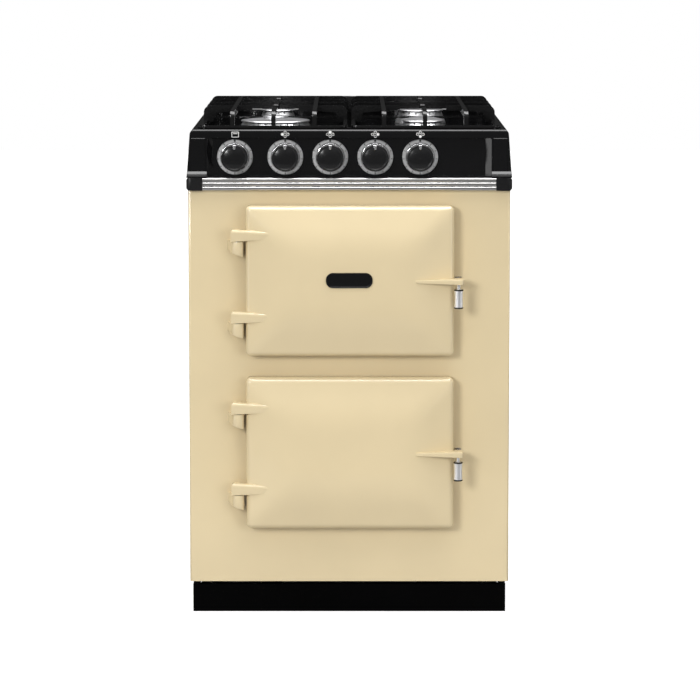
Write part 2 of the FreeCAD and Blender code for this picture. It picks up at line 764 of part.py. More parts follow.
def crowned_block(width, height, back, rim, crown, centre):
    """A door-shaped block: two crowned outlines crossed, with hip lines running in from its corners."""
    across = crown_profile(width / 2, back, rim, DOOR_EDGE_ROUND, crown, DOOR_CROWN_REACH)
    along_z = across.extrude(V(0, 0, height))
    along_z.translate(V(0, 0, centre - height / 2))
    upright = crown_profile(height / 2, back, rim, DOOR_EDGE_ROUND, crown, DOOR_CROWN_REACH)
    along_x = upright.extrude(V(0, 0, width))
    along_x.rotate(V(0, 0, 0), Y_AXIS, 90)
    along_x.translate(V(-width / 2, 0, centre))
    corners = rounded_block(
        -width / 2,
        width / 2,
        rim - crown - CUT_PAST,
        back,
        centre - height / 2,
        centre + height / 2,
        DOOR_CORNER,
        Y_AXIS,
    )
    return along_z.common(along_x).common(corners)


def door_lug(level):
    """A hinge lug cast on the door, with the blind bore that sits on the plate's pin."""
    low, high = level + HINGE_FACE_GAP, level + HINGE_FACE_GAP + DOOR_LUG_HEIGHT
    r = HINGE_BARREL_RADIUS
    tip = HINGE_X + DOOR_LUG_REACH
    front, back = -HINGE_AHEAD - r, -HINGE_AHEAD + r
    crown_lead = DOOR_CROWN_FRONT + DOOR_CROWN * 0.45
    outline = chain(
        [
            line(V(HINGE_X, back, low), V(tip, back, low)),
            line(V(tip, back, low), V(tip, crown_lead, low)),
            line(V(tip, crown_lead, low), V(HINGE_X + r * 3, crown_lead, low)),
            line(V(HINGE_X + r * 3, crown_lead, low), V(HINGE_X, front, low)),
            arc(V(HINGE_X, front, low), V(HINGE_X - r, -HINGE_AHEAD, low), V(HINGE_X, back, low)),
        ]
    )
    lug = outline.extrude(V(0, 0, high - low))
    upper = [e for e in lug.Edges if e.BoundBox.ZMin > high - CUT_PAST and e.CenterOfMass.x < tip - CUT_PAST]
    lug = lug.makeFillet(DOOR_LUG_ROUND, upper)
    bore = Part.makeCylinder(
        HINGE_PIN_RADIUS + HINGE_CLEARANCE,
        DOOR_LUG_HEIGHT - DOOR_LUG_TOP_CAP,
        V(HINGE_X, -HINGE_AHEAD, low),
    )
    return lug, bore


def handle_lug(centre):
    """The fin cast on the door's free edge, which carries the grip."""
    z = centre + HANDLE_LUG_OFFSET
    low, high = z - HANDLE_LUG_HEIGHT / 2, z + HANDLE_LUG_HEIGHT / 2
    end = DOOR_WIDTH / 2 + HANDLE_LUG_PAST_EDGE
    start = end - HANDLE_LUG_LENGTH
    front, back = -HANDLE_LUG_AHEAD, -HANDLE_LUG_BACK
    swell = start + HANDLE_LUG_LENGTH * 0.45
    outline = chain(
        [
            line(V(start, back, low), V(end, back, low)),
            line(V(end, back, low), V(end, front + HANDLE_LUG_ROUND, low)),
            line(V(end, front + HANDLE_LUG_ROUND, low), V(end - HANDLE_LUG_ROUND, front, low)),
            line(V(end - HANDLE_LUG_ROUND, front, low), V(swell, front, low)),
            line(V(swell, front, low), V(start, DOOR_RIM_FRONT - DOOR_CROWN * 0.8, low)),
            line(V(start, DOOR_RIM_FRONT - DOOR_CROWN * 0.8, low), V(start, back, low)),
        ]
    )
    fin = outline.extrude(V(0, 0, high - low))
    return rounded_along(fin, X_AXIS, HANDLE_LUG_ROUND, lambda p: p.y < front + CUT_PAST)


def door_casting(centre):
    """The enamelled door: crowned skin, hollow behind, with two hinge lugs and a handle lug."""
    block = crowned_block(DOOR_WIDTH, DOOR_HEIGHT, DOOR_BACK, DOOR_RIM_FRONT, DOOR_CROWN, centre)
    pocket = box(
        -DOOR_WIDTH / 2 + DOOR_SKIN * 2,
        DOOR_WIDTH / 2 - DOOR_SKIN * 2,
        DOOR_RIM_FRONT + DOOR_SKIN,
        DOOR_BACK + CUT_PAST,
        centre - DOOR_HEIGHT / 2 + DOOR_SKIN * 2,
        centre + DOOR_HEIGHT / 2 - DOOR_SKIN * 2,
    )
    lugs, bores = zip(*[door_lug(level) for level in hinge_levels(centre)])
    casting = joined([block, handle_lug(centre)] + list(lugs)).cut(pocket)
    for bore in bores:
        casting = casting.cut(bore)
    stem = stem_hole(centre)
    return casting.cut(stem)


def door_insulation(centre):
    """The wool pad in the hollow of a door."""
    inset = DOOR_SKIN * 2 + SEAT_GAP
    return box(
        -DOOR_WIDTH / 2 + inset,
        DOOR_WIDTH / 2 - inset,
        DOOR_RIM_FRONT + DOOR_SKIN + SEAT_GAP,
        DOOR_BACK - SEAT_GAP,
        centre - DOOR_HEIGHT / 2 + inset,
        centre + DOOR_HEIGHT / 2 - inset,
    )


def door_liner(centre):
    """The pressed inner sheet: a border that closes the door's hollow and a plug that enters the oven."""
    low, high = oven_heights(centre)
    half = OVEN_OPENING_WIDTH / 2
    g, t = DOOR_LINER_GAP, DOOR_LINER_SHEET
    border_half_w = DOOR_WIDTH / 2 - DOOR_SKIN
    border_half_h = DOOR_HEIGHT / 2 - DOOR_SKIN
    sheet = box(
        -border_half_w,
        border_half_w,
        DOOR_BACK,
        DOOR_BACK + t,
        centre - border_half_h,
        centre + border_half_h,
    )
    plug = rounded_block(
        -half + g, half - g, DOOR_BACK, DOOR_LINER_PLUG, low + g, high - g, OVEN_CORNER, Y_AXIS
    )
    hollow = box(
        -half + g + t,
        half - g - t,
        DOOR_BACK - CUT_PAST,
        DOOR_LINER_PLUG - t,
        low + g + t,
        high - g - t,
    )
    return joined([sheet, plug]).cut(hollow)


def door_seal(centre):
    """A round rope gasket on the liner's border that meets the front plate around the oven."""
    low, high = oven_heights(centre)
    half_w = OVEN_OPENING_WIDTH / 2 + SEAL_FROM_OPENING
    low, high = low - SEAL_FROM_OPENING, high + SEAL_FROM_OPENING
    room = DOOR_GAP - DOOR_LINER_SHEET
    y = DOOR_BACK + DOOR_LINER_SHEET + room / 2
    radius = min(SEAL_RADIUS, room / 2 - SEAT_GAP)
    corners = [
        V(0, y, low),
        V(half_w, y, low),
        V(half_w, y, high),
        V(-half_w, y, high),
        V(-half_w, y, low),
        V(0, y, low),
    ]
    return piped(corners, SEAL_FROM_OPENING, radius)


def handle_axis(centre):
    """Where a grip hangs: plan place and the height of the lug's underside."""
    y = -HANDLE_LUG_AHEAD + HANDLE_LUG_ROUND + HANDLE_RADIUS + 1.0
    return y, centre + HANDLE_LUG_OFFSET - HANDLE_LUG_HEIGHT / 2


def stem_hole(centre):
    """The blind hole in the handle lug that a grip's stem stands in."""
    y, under = handle_axis(centre)
    return Part.makeCylinder(
        HANDLE_STEM_RADIUS + HINGE_CLEARANCE, HANDLE_LUG_HEIGHT / 2, V(HANDLE_X, y, under)
    )


def door_handle(centre):
    """The plated grip that hangs under the handle lug on its stem."""
    y, under = handle_axis(centre)
    top, low = under - HANDLE_DROP, under - HANDLE_DROP - HANDLE_LENGTH
    r, s = HANDLE_RADIUS, HANDLE_STEM_RADIUS
    collar = r * 0.25
    stem_top = under + HANDLE_LUG_HEIGHT / 2 - SEAT_GAP
    radii_heights = [
        (0, low),
        (r * 0.75, low),
        (r, low + collar),
        (r * 0.94, low + HANDLE_LENGTH / 2),
        (r, top - collar),
        (r * 0.75, top),
        (s, top),
        (s, stem_top),
        (0, stem_top),
    ]
    outline = [V(HANDLE_X + radius, y, z) for radius, z in radii_heights]
    return revolved(outline, V(HANDLE_X, y, 0), Z_AXIS)


def badge_plate(centre):
    """A bare plate on the crown of the upper door."""
    front = DOOR_CROWN_FRONT - SEAT_GAP
    z = centre + BADGE_ABOVE_CENTRE
    plate = box(
        -BADGE_WIDTH / 2,
        BADGE_WIDTH / 2,
        front - BADGE_THICK,
        front,
        z - BADGE_HEIGHT / 2,
        z + BADGE_HEIGHT / 2,
    )
    return rounded_along(plate, Y_AXIS, BADGE_HEIGHT * 0.45)


def hinge_pins():
    """The four pins that stand in the plate lugs and carry the doors."""
    pins = []
    for _, centre in DOORS:
        for level in hinge_levels(centre):
            start = V(HINGE_X, -HINGE_AHEAD, level - PLATE_LUG_HEIGHT * 0.75)
            end = V(HINGE_X, -HINGE_AHEAD, level + DOOR_LUG_HEIGHT - DOOR_LUG_TOP_CAP - SEAT_GAP)
            pins.append(rod(HINGE_PIN_RADIUS, start, end))
    return pins


def door_catches():
    """The two keepers on the front plate behind the handle lugs: plate and roller pin in one piece."""
    catches = []
    x = DOOR_WIDTH / 2 + HANDLE_LUG_PAST_EDGE / 2
    for _, centre in DOORS:
        z = centre + HANDLE_LUG_OFFSET
        plate = box(
            x - CATCH_WIDTH / 2,
            x + CATCH_WIDTH / 2,
            -CATCH_PLATE,
            0,
            z - CATCH_HEIGHT / 2,
            z + CATCH_HEIGHT / 2,
        )
        nose = -HANDLE_LUG_BACK + 1.0
        post = rod(CATCH_ROLLER_RADIUS, V(x, 0, z), V(x, nose, z))
        catches.append(joined([plate, post]))
    return catches


# Hob pieces


def hob_block(inset):
    """The outer form of the hob surround, or the same form taken in by a wall thickness."""
    t = inset
    low = TRIM_TOP
    front = -HOB_FRONT_AHEAD + t
    flare = -HOB_FLARE_AHEAD + t
    top = HOB_TOP - t
    r = HOB_TOP_ROUND - t
    back = BODY_DEPTH - t
    knee = low + HOB_FLARE_HEIGHT
    lip = low + HOB_FLARE_HEIGHT / 4
    profile = chain(
        [
            line(V(0, back, low), V(0, flare, low)),
            line(V(0, flare, low), V(0, flare, lip)),
            line(V(0, flare, lip), V(0, front, knee)),
            line(V(0, front, knee), V(0, front, top - r)),
            arc(
                V(0, front, top - r),
                V(0, front + r * (1 - math.cos(math.pi / 4)), top - r * (1 - math.sin(math.pi / 4))),
                V(0, front + r, top),
            ),
            line(V(0, front + r, top), V(0, back, top)),
            line(V(0, back, top), V(0, back, low)),
        ]
    )
    half_low = HALF_WIDTH + HOB_BOTTOM_PAST_BODY - t
    half_top = HALF_WIDTH - HOB_TOP_SET_IN - t
    long_way = profile.extrude(V(2 * half_low + 2 * CUT_PAST, 0, 0))
    long_way.translate(V(-half_low - CUT_PAST, 0, 0))
    reach = HOB_FLARE_AHEAD + 1
    section = prism(
        [
            V(-half_low, -reach, low),
            V(half_low, -reach, low),
            V(half_top, -reach, top),
            V(-half_top, -reach, top),
        ],
        V(0, BODY_DEPTH + 2 * reach, 0),
    )
    section = rounded_along(section, Y_AXIS, HOB_SIDE_ROUND - t, lambda p: p.z > top - CUT_PAST)
    return long_way.common(section)


def fascia_heights():
    """Lowest and highest point of the sunk control panel at its front edge."""
    return TRIM_TOP + FASCIA_FLOOR_GAP + FASCIA_SHEET, HOB_TOP - FASCIA_TOP_BAND


def hob_cheek(side):
    """The raised pad beside the fascia, with a round upper edge; side is -1 for the left one."""
    _, high = fascia_heights()
    outer = HALF_WIDTH - HOB_CHEEK_FROM_SIDE
    x0, x1 = sorted((side * outer, side * (outer - HOB_CHEEK_WIDTH)))
    front = -HOB_FRONT_AHEAD - HOB_CHEEK_AHEAD
    pad = box(x0, x1, front, HOB_SKIN - HOB_FRONT_AHEAD, TRIM_TOP, high)
    return rounded_along(
        pad, X_AXIS, HOB_CHEEK_ROUND, lambda p: p.y < front + CUT_PAST and p.z > high - CUT_PAST
    )


def hob_surround():
    """The black hob shell with its cheeks, open below, above the tray and in front of the fascia."""
    shell = joined([hob_block(0), hob_cheek(-1), hob_cheek(1)]).cut(hob_block(HOB_SKIN))
    low, high = fascia_heights()
    half = FASCIA_WIDTH / 2
    window = box(-half, half, -HOB_FLARE_AHEAD - CUT_PAST, TRAY_FRONT / 2, TRIM_TOP - CUT_PAST, high)
    window = rounded_along(window, Y_AXIS, FASCIA_RIM, lambda p: p.z > low)
    well = rounded_block(
        -TRAY_WIDTH / 2,
        TRAY_WIDTH / 2,
        TRAY_FRONT,
        TRAY_REAR,
        HOB_TOP - HOB_SKIN - CUT_PAST,
        HOB_TOP + CUT_PAST,
        TRAY_CORNER,
        Z_AXIS,
    )
    return shell.cut(window).cut(well)


def rectangle(half, low, high, y):
    """A rectangular wire facing the front."""
    return Part.makePolygon(
        [V(-half, y, low), V(half, y, low), V(half, y, high), V(-half, y, high), V(-half, y, low)]
    )


def dish(half, low, high, front, rear, bevel):
    """A shallow block that narrows from its front rim to its floor."""
    return Part.makeLoft(
        [
            rectangle(half, low, high, front),
            rectangle(half - bevel, low + bevel * 0.05, high - bevel * 0.15, rear),
        ],
        True,
        True,
    )


def control_fascia():
    """The sunk control panel: rim behind the surround, bevelled sides and a flat floor with spindle holes."""
    low, high = fascia_heights()
    half = FASCIA_WIDTH / 2
    front = -HOB_FRONT_AHEAD + HOB_SKIN + SEAT_GAP
    t = FASCIA_SHEET
    outer = dish(half + t, low - t, high + t, front, FASCIA_REAR, FASCIA_BEVEL)
    inner = dish(half, low, high, front - SEAT_GAP / 2, FASCIA_FACE, FASCIA_BEVEL)
    rim = box(-half - FASCIA_RIM, half + FASCIA_RIM, front, front + t, low - t, high + t)
    panel = joined([outer, rim]).cut(inner)
    hole = SPINDLE_RADIUS + SPINDLE_PANEL_CLEARANCE
    for x in [OVEN_KNOB_X] + TAP_KNOB_XS:
        panel = panel.cut(rod(hole, V(x, front, KNOB_HEIGHT), V(x, FASCIA_REAR + CUT_PAST, KNOB_HEIGHT)))
    return panel


def burner_neck(cap_radius):
    """Radius of a burner where it passes through the tray."""
    return cap_radius - BURNER_NECK_INSET


def probe_places():
    """Where each burner's spark electrode and flame probe stand, in plan."""
    places = []
    for _, x, y, cap in BURNERS:
        reach = cap + BURNER_SKIRT_PAST_CAP + PROBE_FROM_SKIRT
        diagonal = reach * math.sqrt(0.5)
        places.append((V(x - diagonal, y + diagonal, 0), V(x + diagonal, y + diagonal, 0)))
    return places


def spill_tray():
    """The sunk enamelled tray with holes for the burners and their probes."""
    half = TRAY_WIDTH / 2 - SEAT_GAP
    front, back = TRAY_FRONT + SEAT_GAP, TRAY_REAR - SEAT_GAP
    t, f = TRAY_SHEET, TRAY_FLANGE
    rest = HOB_TOP + SEAT_GAP
    flange = rounded_block(
        -half - f, half + f, front - f, back + f, rest, rest + t, TRAY_CORNER + f, Z_AXIS
    )
    pan = rounded_block(-half, half, front, back, TRAY_FLOOR - t, rest + t, TRAY_CORNER - SEAT_GAP, Z_AXIS)
    hollow = rounded_block(
        -half + t,
        half - t,
        front + t,
        back - t,
        TRAY_FLOOR,
        rest + t + CUT_PAST,
        TRAY_CORNER - SEAT_GAP - t,
        Z_AXIS,
    )
    tray = joined([flange, pan]).cut(hollow)
    for _, x, y, cap in BURNERS:
        hole = burner_neck(cap) + SEAT_GAP
        tray = tray.cut(Part.makeCylinder(hole, t + 2 * CUT_PAST, V(x, y, TRAY_FLOOR - t - CUT_PAST)))
    for pair in probe_places():
        for place in pair:
            hole = PROBE_RADIUS + PROBE_HOLE_CLEARANCE
            below = place + V(0, 0, TRAY_FLOOR - t - CUT_PAST)
            tray = tray.cut(Part.makeCylinder(hole, t + 2 * CUT_PAST, below))
    return tray


def hob_deck():
    """The folded steel tray under the hob, which closes the cabinet and carries the gas parts."""
    half = SIDE_OUTER
    front, back = TRIM_BACK, BODY_DEPTH
    deck = box(-half, half, front, back, PLATE_TOP, TRIM_TOP)
    low, high = PLATE_TOP + SHEET, TRIM_TOP + CUT_PAST
    return deck.cut(box(-half + SHEET, half - SHEET, front + SHEET, back - SHEET, low, high))


def trim_profile(x):
    """The fluted section of the front trim at one X, as a face."""
    low, high = PLATE_TOP + SEAT_GAP, TRIM_TOP - SEAT_GAP
    step = (high - low) / TRIM_RIBS
    groove = -TRIM_AHEAD + TRIM_GROOVE
    edges = [line(V(x, TRIM_BACK, high), V(x, TRIM_BACK, low)), line(V(x, TRIM_BACK, low), V(x, groove, low))]
    for i in range(TRIM_RIBS):
        start = low + i * step
        edges.append(
            arc(V(x, groove, start), V(x, -TRIM_AHEAD, start + step / 2), V(x, groove, start + step))
        )
    edges.append(line(V(x, groove, high), V(x, TRIM_BACK, high)))
    return chain(edges)


def trim_half_length():
    """Half the length of the fluted trim between its end caps."""
    return HALF_WIDTH + TRIM_CAP_PAST_BODY - TRIM_CAP_WIDTH


def front_trim():
    """The bright fluted extrusion across the front."""
    half = trim_half_length()
    return trim_profile(-half).extrude(V(2 * half, 0, 0))


def trim_cap_plan(side, inner, outer, low, high):
    """The outline of a corner cap seen from above, with its round front corner, as a block."""
    r, front, back = TRIM_CAP_ROUND, -TRIM_CAP_AHEAD, TRIM_CAP_DEPTH
    bow = r * (1 - math.sqrt(0.5))

    def at(x, y):
        return V(side * x, y, low)

    plan = chain(
        [
            line(at(inner, back), at(inner, front)),
            line(at(inner, front), at(outer - r, front)),
            arc(at(outer - r, front), at(outer - bow, front + bow), at(outer, front + r)),
            line(at(outer, front + r), at(outer, back)),
            line(at(outer, back), at(inner, back)),
        ]
    )
    return plan.extrude(V(0, 0, high - low))


def trim_end_caps():
    """The two black corner caps of the trim, each an angle round the deck's front corner."""
    caps = []
    low, high = PLATE_TOP + SEAT_GAP, TRIM_TOP - SEAT_GAP
    for side in (-1, 1):
        inner = trim_half_length() + SEAT_GAP
        outer = HALF_WIDTH + TRIM_CAP_PAST_BODY
        c = TRIM_CAP_CHAMFER
        section = [
            (inner, low),
            (outer - c, low),
            (outer, low + c),
            (outer, high - c),
            (outer - c, high),
            (inner, high),
        ]
        section = [V(side * x, -TRIM_CAP_AHEAD, z) for x, z in section]
        bar = prism(section, V(0, TRIM_CAP_AHEAD + TRIM_CAP_DEPTH, 0))
        bar = bar.common(trim_cap_plan(side, inner, outer, low, high))
        near, far = sorted((side * (SIDE_OUTER + SEAT_GAP), side * (inner - CUT_PAST)))
        front, back = TRIM_BACK - SEAT_GAP, TRIM_CAP_DEPTH + CUT_PAST
        bar = bar.cut(box(near, far, front, back, low - CUT_PAST, high + CUT_PAST))
        caps.append(bar)
    return caps


# Burners


def burner_height(y):
    """Height of a burner over the tray's floor: the rear ones stand taller."""
    return FRONT_BURNER_HEIGHT if y == FRONT_BURNER_Y else REAR_BURNER_HEIGHT


def burner_base(x, y, cap):
    """A burner body: jet holder, neck through the tray and slotted skirt under the cap."""
    neck = burner_neck(cap)
    skirt = cap + BURNER_SKIRT_PAST_CAP
    crown = cap - BURNER_NECK_INSET
    top = TRAY_FLOOR + burner_height(y)
    rest = TRAY_FLOOR + SEAT_GAP
    bottom = TRAY_FLOOR - BURNER_NECK_DEPTH
    well = cap - CAP_SPIGOT_INSET + SEAT_GAP
    radii_heights = [
        (0, bottom - JET_HEIGHT),
        (JET_RADIUS, bottom - JET_HEIGHT),
        (JET_RADIUS, bottom),
        (neck - SEAT_GAP, bottom + JET_RADIUS),
        (neck - SEAT_GAP, rest),
        (skirt, rest),
        (skirt, rest + CAP_RIM / 2),
        (crown, top),
        (well, top),
        (well, top - CAP_SPIGOT_DEPTH - SEAT_GAP),
        (0, top - CAP_SPIGOT_DEPTH - SEAT_GAP),
    ]
    body = revolved([V(x + r, y, z) for r, z in radii_heights], V(x, y, 0), Z_AXIS)
    ports = int(2 * math.pi * crown / BURNER_PORT_PITCH)
    for i in range(ports):
        slot = box(
            x + well + CUT_PAST,
            x + skirt + CUT_PAST,
            y - BURNER_PORT_WIDTH / 2,
            y + BURNER_PORT_WIDTH / 2,
            top - BURNER_PORT_DEPTH,
            top + CUT_PAST,
        )
        slot.rotate(V(x, y, 0), Z_AXIS, 360.0 * (i + 0.5) / ports)
        body = body.cut(slot)
    return body


def burner_cap(x, y, cap):
    """A thin domed cap with the spigot that locates it in the burner."""
    low = TRAY_FLOOR + burner_height(y) + SEAT_GAP
    spigot = cap - CAP_SPIGOT_INSET
    dome = CAP_DOME if cap < WOK_CAP_RADIUS else WOK_CAP_DOME
    dome_top = low + CAP_RIM + dome
    edge_top = low + CAP_RIM

    out, drop = dome_middle(cap - CAP_RIM / 2, dome)

    def at(radius, z):
        return V(x + radius, y, z)

    outline = chain(
        [
            line(at(0, low - CAP_SPIGOT_DEPTH), at(spigot, low - CAP_SPIGOT_DEPTH)),
            line(at(spigot, low - CAP_SPIGOT_DEPTH), at(spigot, low)),
            line(at(spigot, low), at(cap - CAP_RIM / 2, low)),
            line(at(cap - CAP_RIM / 2, low), at(cap, low + CAP_RIM / 2)),
            line(at(cap, low + CAP_RIM / 2), at(cap - CAP_RIM / 2, edge_top)),
            arc(at(cap - CAP_RIM / 2, edge_top), at(out, dome_top - drop), at(0, dome_top)),
            line(at(0, dome_top), at(0, low - CAP_SPIGOT_DEPTH)),
        ]
    )
    plain = outline.revolve(V(x, y, 0), Z_AXIS, 360)
    if cap < WOK_CAP_RADIUS:
        return plain
    inner, peak = WOK_INNER_RADIUS, dome_top + WOK_INNER_RISE
    radii_heights = [
        (0, low),
        (inner, low),
        (inner, peak - CAP_RIM),
        (inner - CAP_RIM, peak - CAP_RIM / 3),
        (0, peak),
    ]
    middle = revolved([at(r, z) for r, z in radii_heights], V(x, y, 0), Z_AXIS)
    return joined([plain, middle])


def probe(place, tip):
    """A ceramic-bodied probe through the tray, with a thin metal tip."""
    low = place + V(0, 0, TRAY_FLOOR - TRAY_SHEET - PROBE_BELOW_TRAY)
    shoulder = place + V(0, 0, TRAY_FLOOR + PROBE_ABOVE_TRAY - tip)
    end = place + V(0, 0, TRAY_FLOOR + PROBE_ABOVE_TRAY)
    return joined([rod(PROBE_RADIUS, low, shoulder), rod(PROBE_TIP_RADIUS, low, end)])


def spark_electrodes():
    """One spark electrode behind the left of each burner."""
    return [probe(left, PROBE_TIP) for left, _ in probe_places()]


def flame_probes():
    """One flame probe behind the right of each burner."""
    return [probe(right, PROBE_TIP / 2) for _, right in probe_places()]


# Knobs and gas ways


def knob(x):
    """A turned knob with a raised rim, a domed face, a pointer and a bore for its spindle."""
    r, rim, back, front = KNOB_RADIUS, KNOB_RIM, KNOB_BACK, KNOB_FRONT
    face = front + KNOB_DOME * 0.4

    def at(radius, y):
        return V(x + radius, y, KNOB_HEIGHT)

    crown = front - KNOB_DOME * 0.6
    out, drop = dome_middle(r - 2 * rim, KNOB_DOME)
    outline = chain(
        [
            line(at(0, back), at(r * 0.93, back)),
            line(at(r * 0.93, back), at(r, front + rim)),
            arc(at(r, front + rim), at(r - rim * 0.3, front + rim * 0.3), at(r - rim, front)),
            line(at(r - rim, front), at(r - 2 * rim, face)),
            arc(at(r - 2 * rim, face), at(out, crown + drop), at(0, crown)),
            line(at(0, crown), at(0, back)),
        ]
    )
    body = outline.revolve(V(x, 0, KNOB_HEIGHT), Y_AXIS, 360)
    top = KNOB_HEIGHT + r - rim
    pointer = prism(
        [
            V(x - POINTER_WIDTH / 2, front + rim, top),
            V(x + POINTER_WIDTH / 2, front + rim, top),
            V(x + POINTER_WIDTH * 0.2, front + rim, top - POINTER_LENGTH),
            V(x - POINTER_WIDTH * 0.2, front + rim, top - POINTER_LENGTH),
        ],
        V(0, -rim - POINTER_RISE, 0),
    )
    bore = rod(
        SPINDLE_RADIUS + SPINDLE_CLEARANCE,
        V(x, back + CUT_PAST, KNOB_HEIGHT),
        V(x, back - KNOB_BORE_DEPTH, KNOB_HEIGHT),
    )
    return joined([body, pointer]).cut(bore)


def knob_bezels():
    """Five bright rings round the knobs, lying on the fascia."""
    rings = []
    for x in [OVEN_KNOB_X] + TAP_KNOB_XS:
        back, front = FASCIA_FACE - SEAT_GAP, FASCIA_FACE - SEAT_GAP - BEZEL_THICK
        section = [
            (BEZEL_HOLE_RADIUS, back),
            (BEZEL_RADIUS, back),
            (BEZEL_RADIUS, front + BEZEL_BEVEL),
            (BEZEL_RADIUS - BEZEL_BEVEL, front),
            (BEZEL_HOLE_RADIUS + BEZEL_BEVEL / 2, front),
            (BEZEL_HOLE_RADIUS, front + BEZEL_BEVEL / 2),
        ]
        outline = [V(x + r, y, KNOB_HEIGHT) for r, y in section]
        rings.append(revolved(outline, V(x, 0, KNOB_HEIGHT), Y_AXIS))
    return rings


def spindle(x):
    """The round shaft from a knob to its tap or thermostat."""
    start = V(x, KNOB_BACK - KNOB_BORE_DEPTH + SEAT_GAP, KNOB_HEIGHT)
    return rod(SPINDLE_RADIUS, start, V(x, SPINDLE_END, KNOB_HEIGHT))


def push_rod(x):
    """The valve rod that a pressed spindle drives inwards."""
    start = SPINDLE_END + SEAT_GAP
    return rod(ROD_RADIUS, V(x, start, KNOB_HEIGHT), V(x, start + ROD_LENGTH, KNOB_HEIGHT))


def control_body(x, width, height):
    """A control behind the fascia with its stepped bore for spindle and rod."""
    back = TAP_FRONT + TAP_LENGTH
    body = rounded_block(
        x - width / 2,
        x + width / 2,
        TAP_FRONT,
        back,
        KNOB_HEIGHT - height / 2,
        KNOB_HEIGHT + height / 2,
        SPINDLE_RADIUS,
        Y_AXIS,
    )
    shaft_end = SPINDLE_END + KNOB_PUSH + SEAT_GAP
    rod_end = SPINDLE_END + ROD_LENGTH + KNOB_PUSH + 2 * SEAT_GAP
    shaft = rod(
        SPINDLE_RADIUS + SPINDLE_CLEARANCE,
        V(x, TAP_FRONT - CUT_PAST, KNOB_HEIGHT),
        V(x, shaft_end, KNOB_HEIGHT),
    )
    narrow = rod(
        ROD_RADIUS + SPINDLE_CLEARANCE, V(x, TAP_FRONT, KNOB_HEIGHT), V(x, rod_end, KNOB_HEIGHT)
    )
    return body.cut(shaft).cut(narrow)


def gas_taps():
    """The four gas taps on the manifold."""
    return [control_body(x, TAP_WIDTH, TAP_HEIGHT) for x in TAP_KNOB_XS]


def oven_thermostat():
    """The oven control behind the left knob, with the bracket that hangs it on the fascia."""
    body = control_body(OVEN_KNOB_X, THERMOSTAT_WIDTH, THERMOSTAT_HEIGHT)
    strap = box(
        OVEN_KNOB_X - THERMOSTAT_WIDTH / 2,
        OVEN_KNOB_X + THERMOSTAT_WIDTH / 2,
        FASCIA_REAR + SEAT_GAP,
        TAP_FRONT + SHEET,
        KNOB_HEIGHT + THERMOSTAT_HEIGHT / 2 - SHEET,
        KNOB_HEIGHT + THERMOSTAT_HEIGHT / 2,
    )
    return joined([body, strap])


def gas_manifold():
    """The pipe behind the taps, on two stands from the deck."""
    start = TAP_KNOB_XS[0] - MANIFOLD_PAST_TAPS
    end = TAP_KNOB_XS[-1] + MANIFOLD_PAST_TAPS
    pipe = rod(MANIFOLD_RADIUS, V(start, MANIFOLD_Y, KNOB_HEIGHT), V(end, MANIFOLD_Y, KNOB_HEIGHT))
    pieces = [pipe]
    for x in (start + MANIFOLD_RADIUS, end - MANIFOLD_RADIUS):
        pieces.append(
            box(
                x - SHEET,
                x + SHEET,
                MANIFOLD_Y - MANIFOLD_RADIUS / 2,
                MANIFOLD_Y + MANIFOLD_RADIUS / 2,
                PLATE_TOP + SHEET + SEAT_GAP,
                KNOB_HEIGHT,
            )
        )
    return joined(pieces)


def burner_feed_pipes():
    """A bent tube from under each tap to its burner's jet, each at its own level."""
    pipes = []
    tap_y = TAP_FRONT + TAP_LENGTH / 2
    tap_under = KNOB_HEIGHT - TAP_HEIGHT / 2 - SEAT_GAP
    jet_under = TRAY_FLOOR - BURNER_NECK_DEPTH - JET_HEIGHT - SEAT_GAP
    for i, (tap_x, (_, x, y, _)) in enumerate(zip(TAP_KNOB_XS, BURNERS)):
        level = FEED_LOWEST + (i % 2) * FEED_LEVEL_STEP
        bend_x = x - math.copysign(FEED_BEND, x) * (0 if y == FRONT_BURNER_Y else 4)
        points = [
            V(tap_x, tap_y, tap_under),
            V(tap_x, tap_y, level),
            V(bend_x, y - (y - tap_y) * 0.3, level),
            V(x, y, level),
            V(x, y, jet_under),
        ]
        pipes.append(piped(points, FEED_BEND, FEED_RADIUS))
    return pipes


# Pan supports


def finger(start, end, low):
    """An upright blade from one plan point to another, with a rounded nose at its far end."""
    way = V(end.x - start.x, end.y - start.y, 0)
    length = way.Length
    r = FINGER_NOSE
    t = FINGER_THICK
    top = SUPPORT_TOP
    under = top - FINGER_DEPTH
    c = r * (1 - math.sqrt(0.5))
    shoulder, leg = FINGER_SHOULDER, FINGER_LEG
    bow = shoulder * (1 - math.sqrt(0.5))
    outline = chain(
        [
            line(V(0, -t / 2, low), V(leg * 0.8, -t / 2, low)),
            line(V(leg * 0.8, -t / 2, low), V(leg, -t / 2, under)),
            line(V(leg, -t / 2, under), V(length, -t / 2, under + r)),
            line(V(length, -t / 2, under + r), V(length, -t / 2, top - r / 2)),
            arc(
                V(length, -t / 2, top - r / 2),
                V(length - c / 2, -t / 2, top - c / 2),
                V(length - r / 2, -t / 2, top),
            ),
            line(V(length - r / 2, -t / 2, top), V(shoulder, -t / 2, top)),
            arc(V(shoulder, -t / 2, top), V(bow, -t / 2, top - bow), V(0, -t / 2, top - shoulder)),
            line(V(0, -t / 2, top - shoulder), V(0, -t / 2, low)),
        ]
    )
    blade = outline.extrude(V(0, t, 0))
    blade.rotate(V(0, 0, 0), Z_AXIS, math.degrees(math.atan2(way.y, way.x)))
    blade.translate(V(start.x, start.y, 0))
    return blade


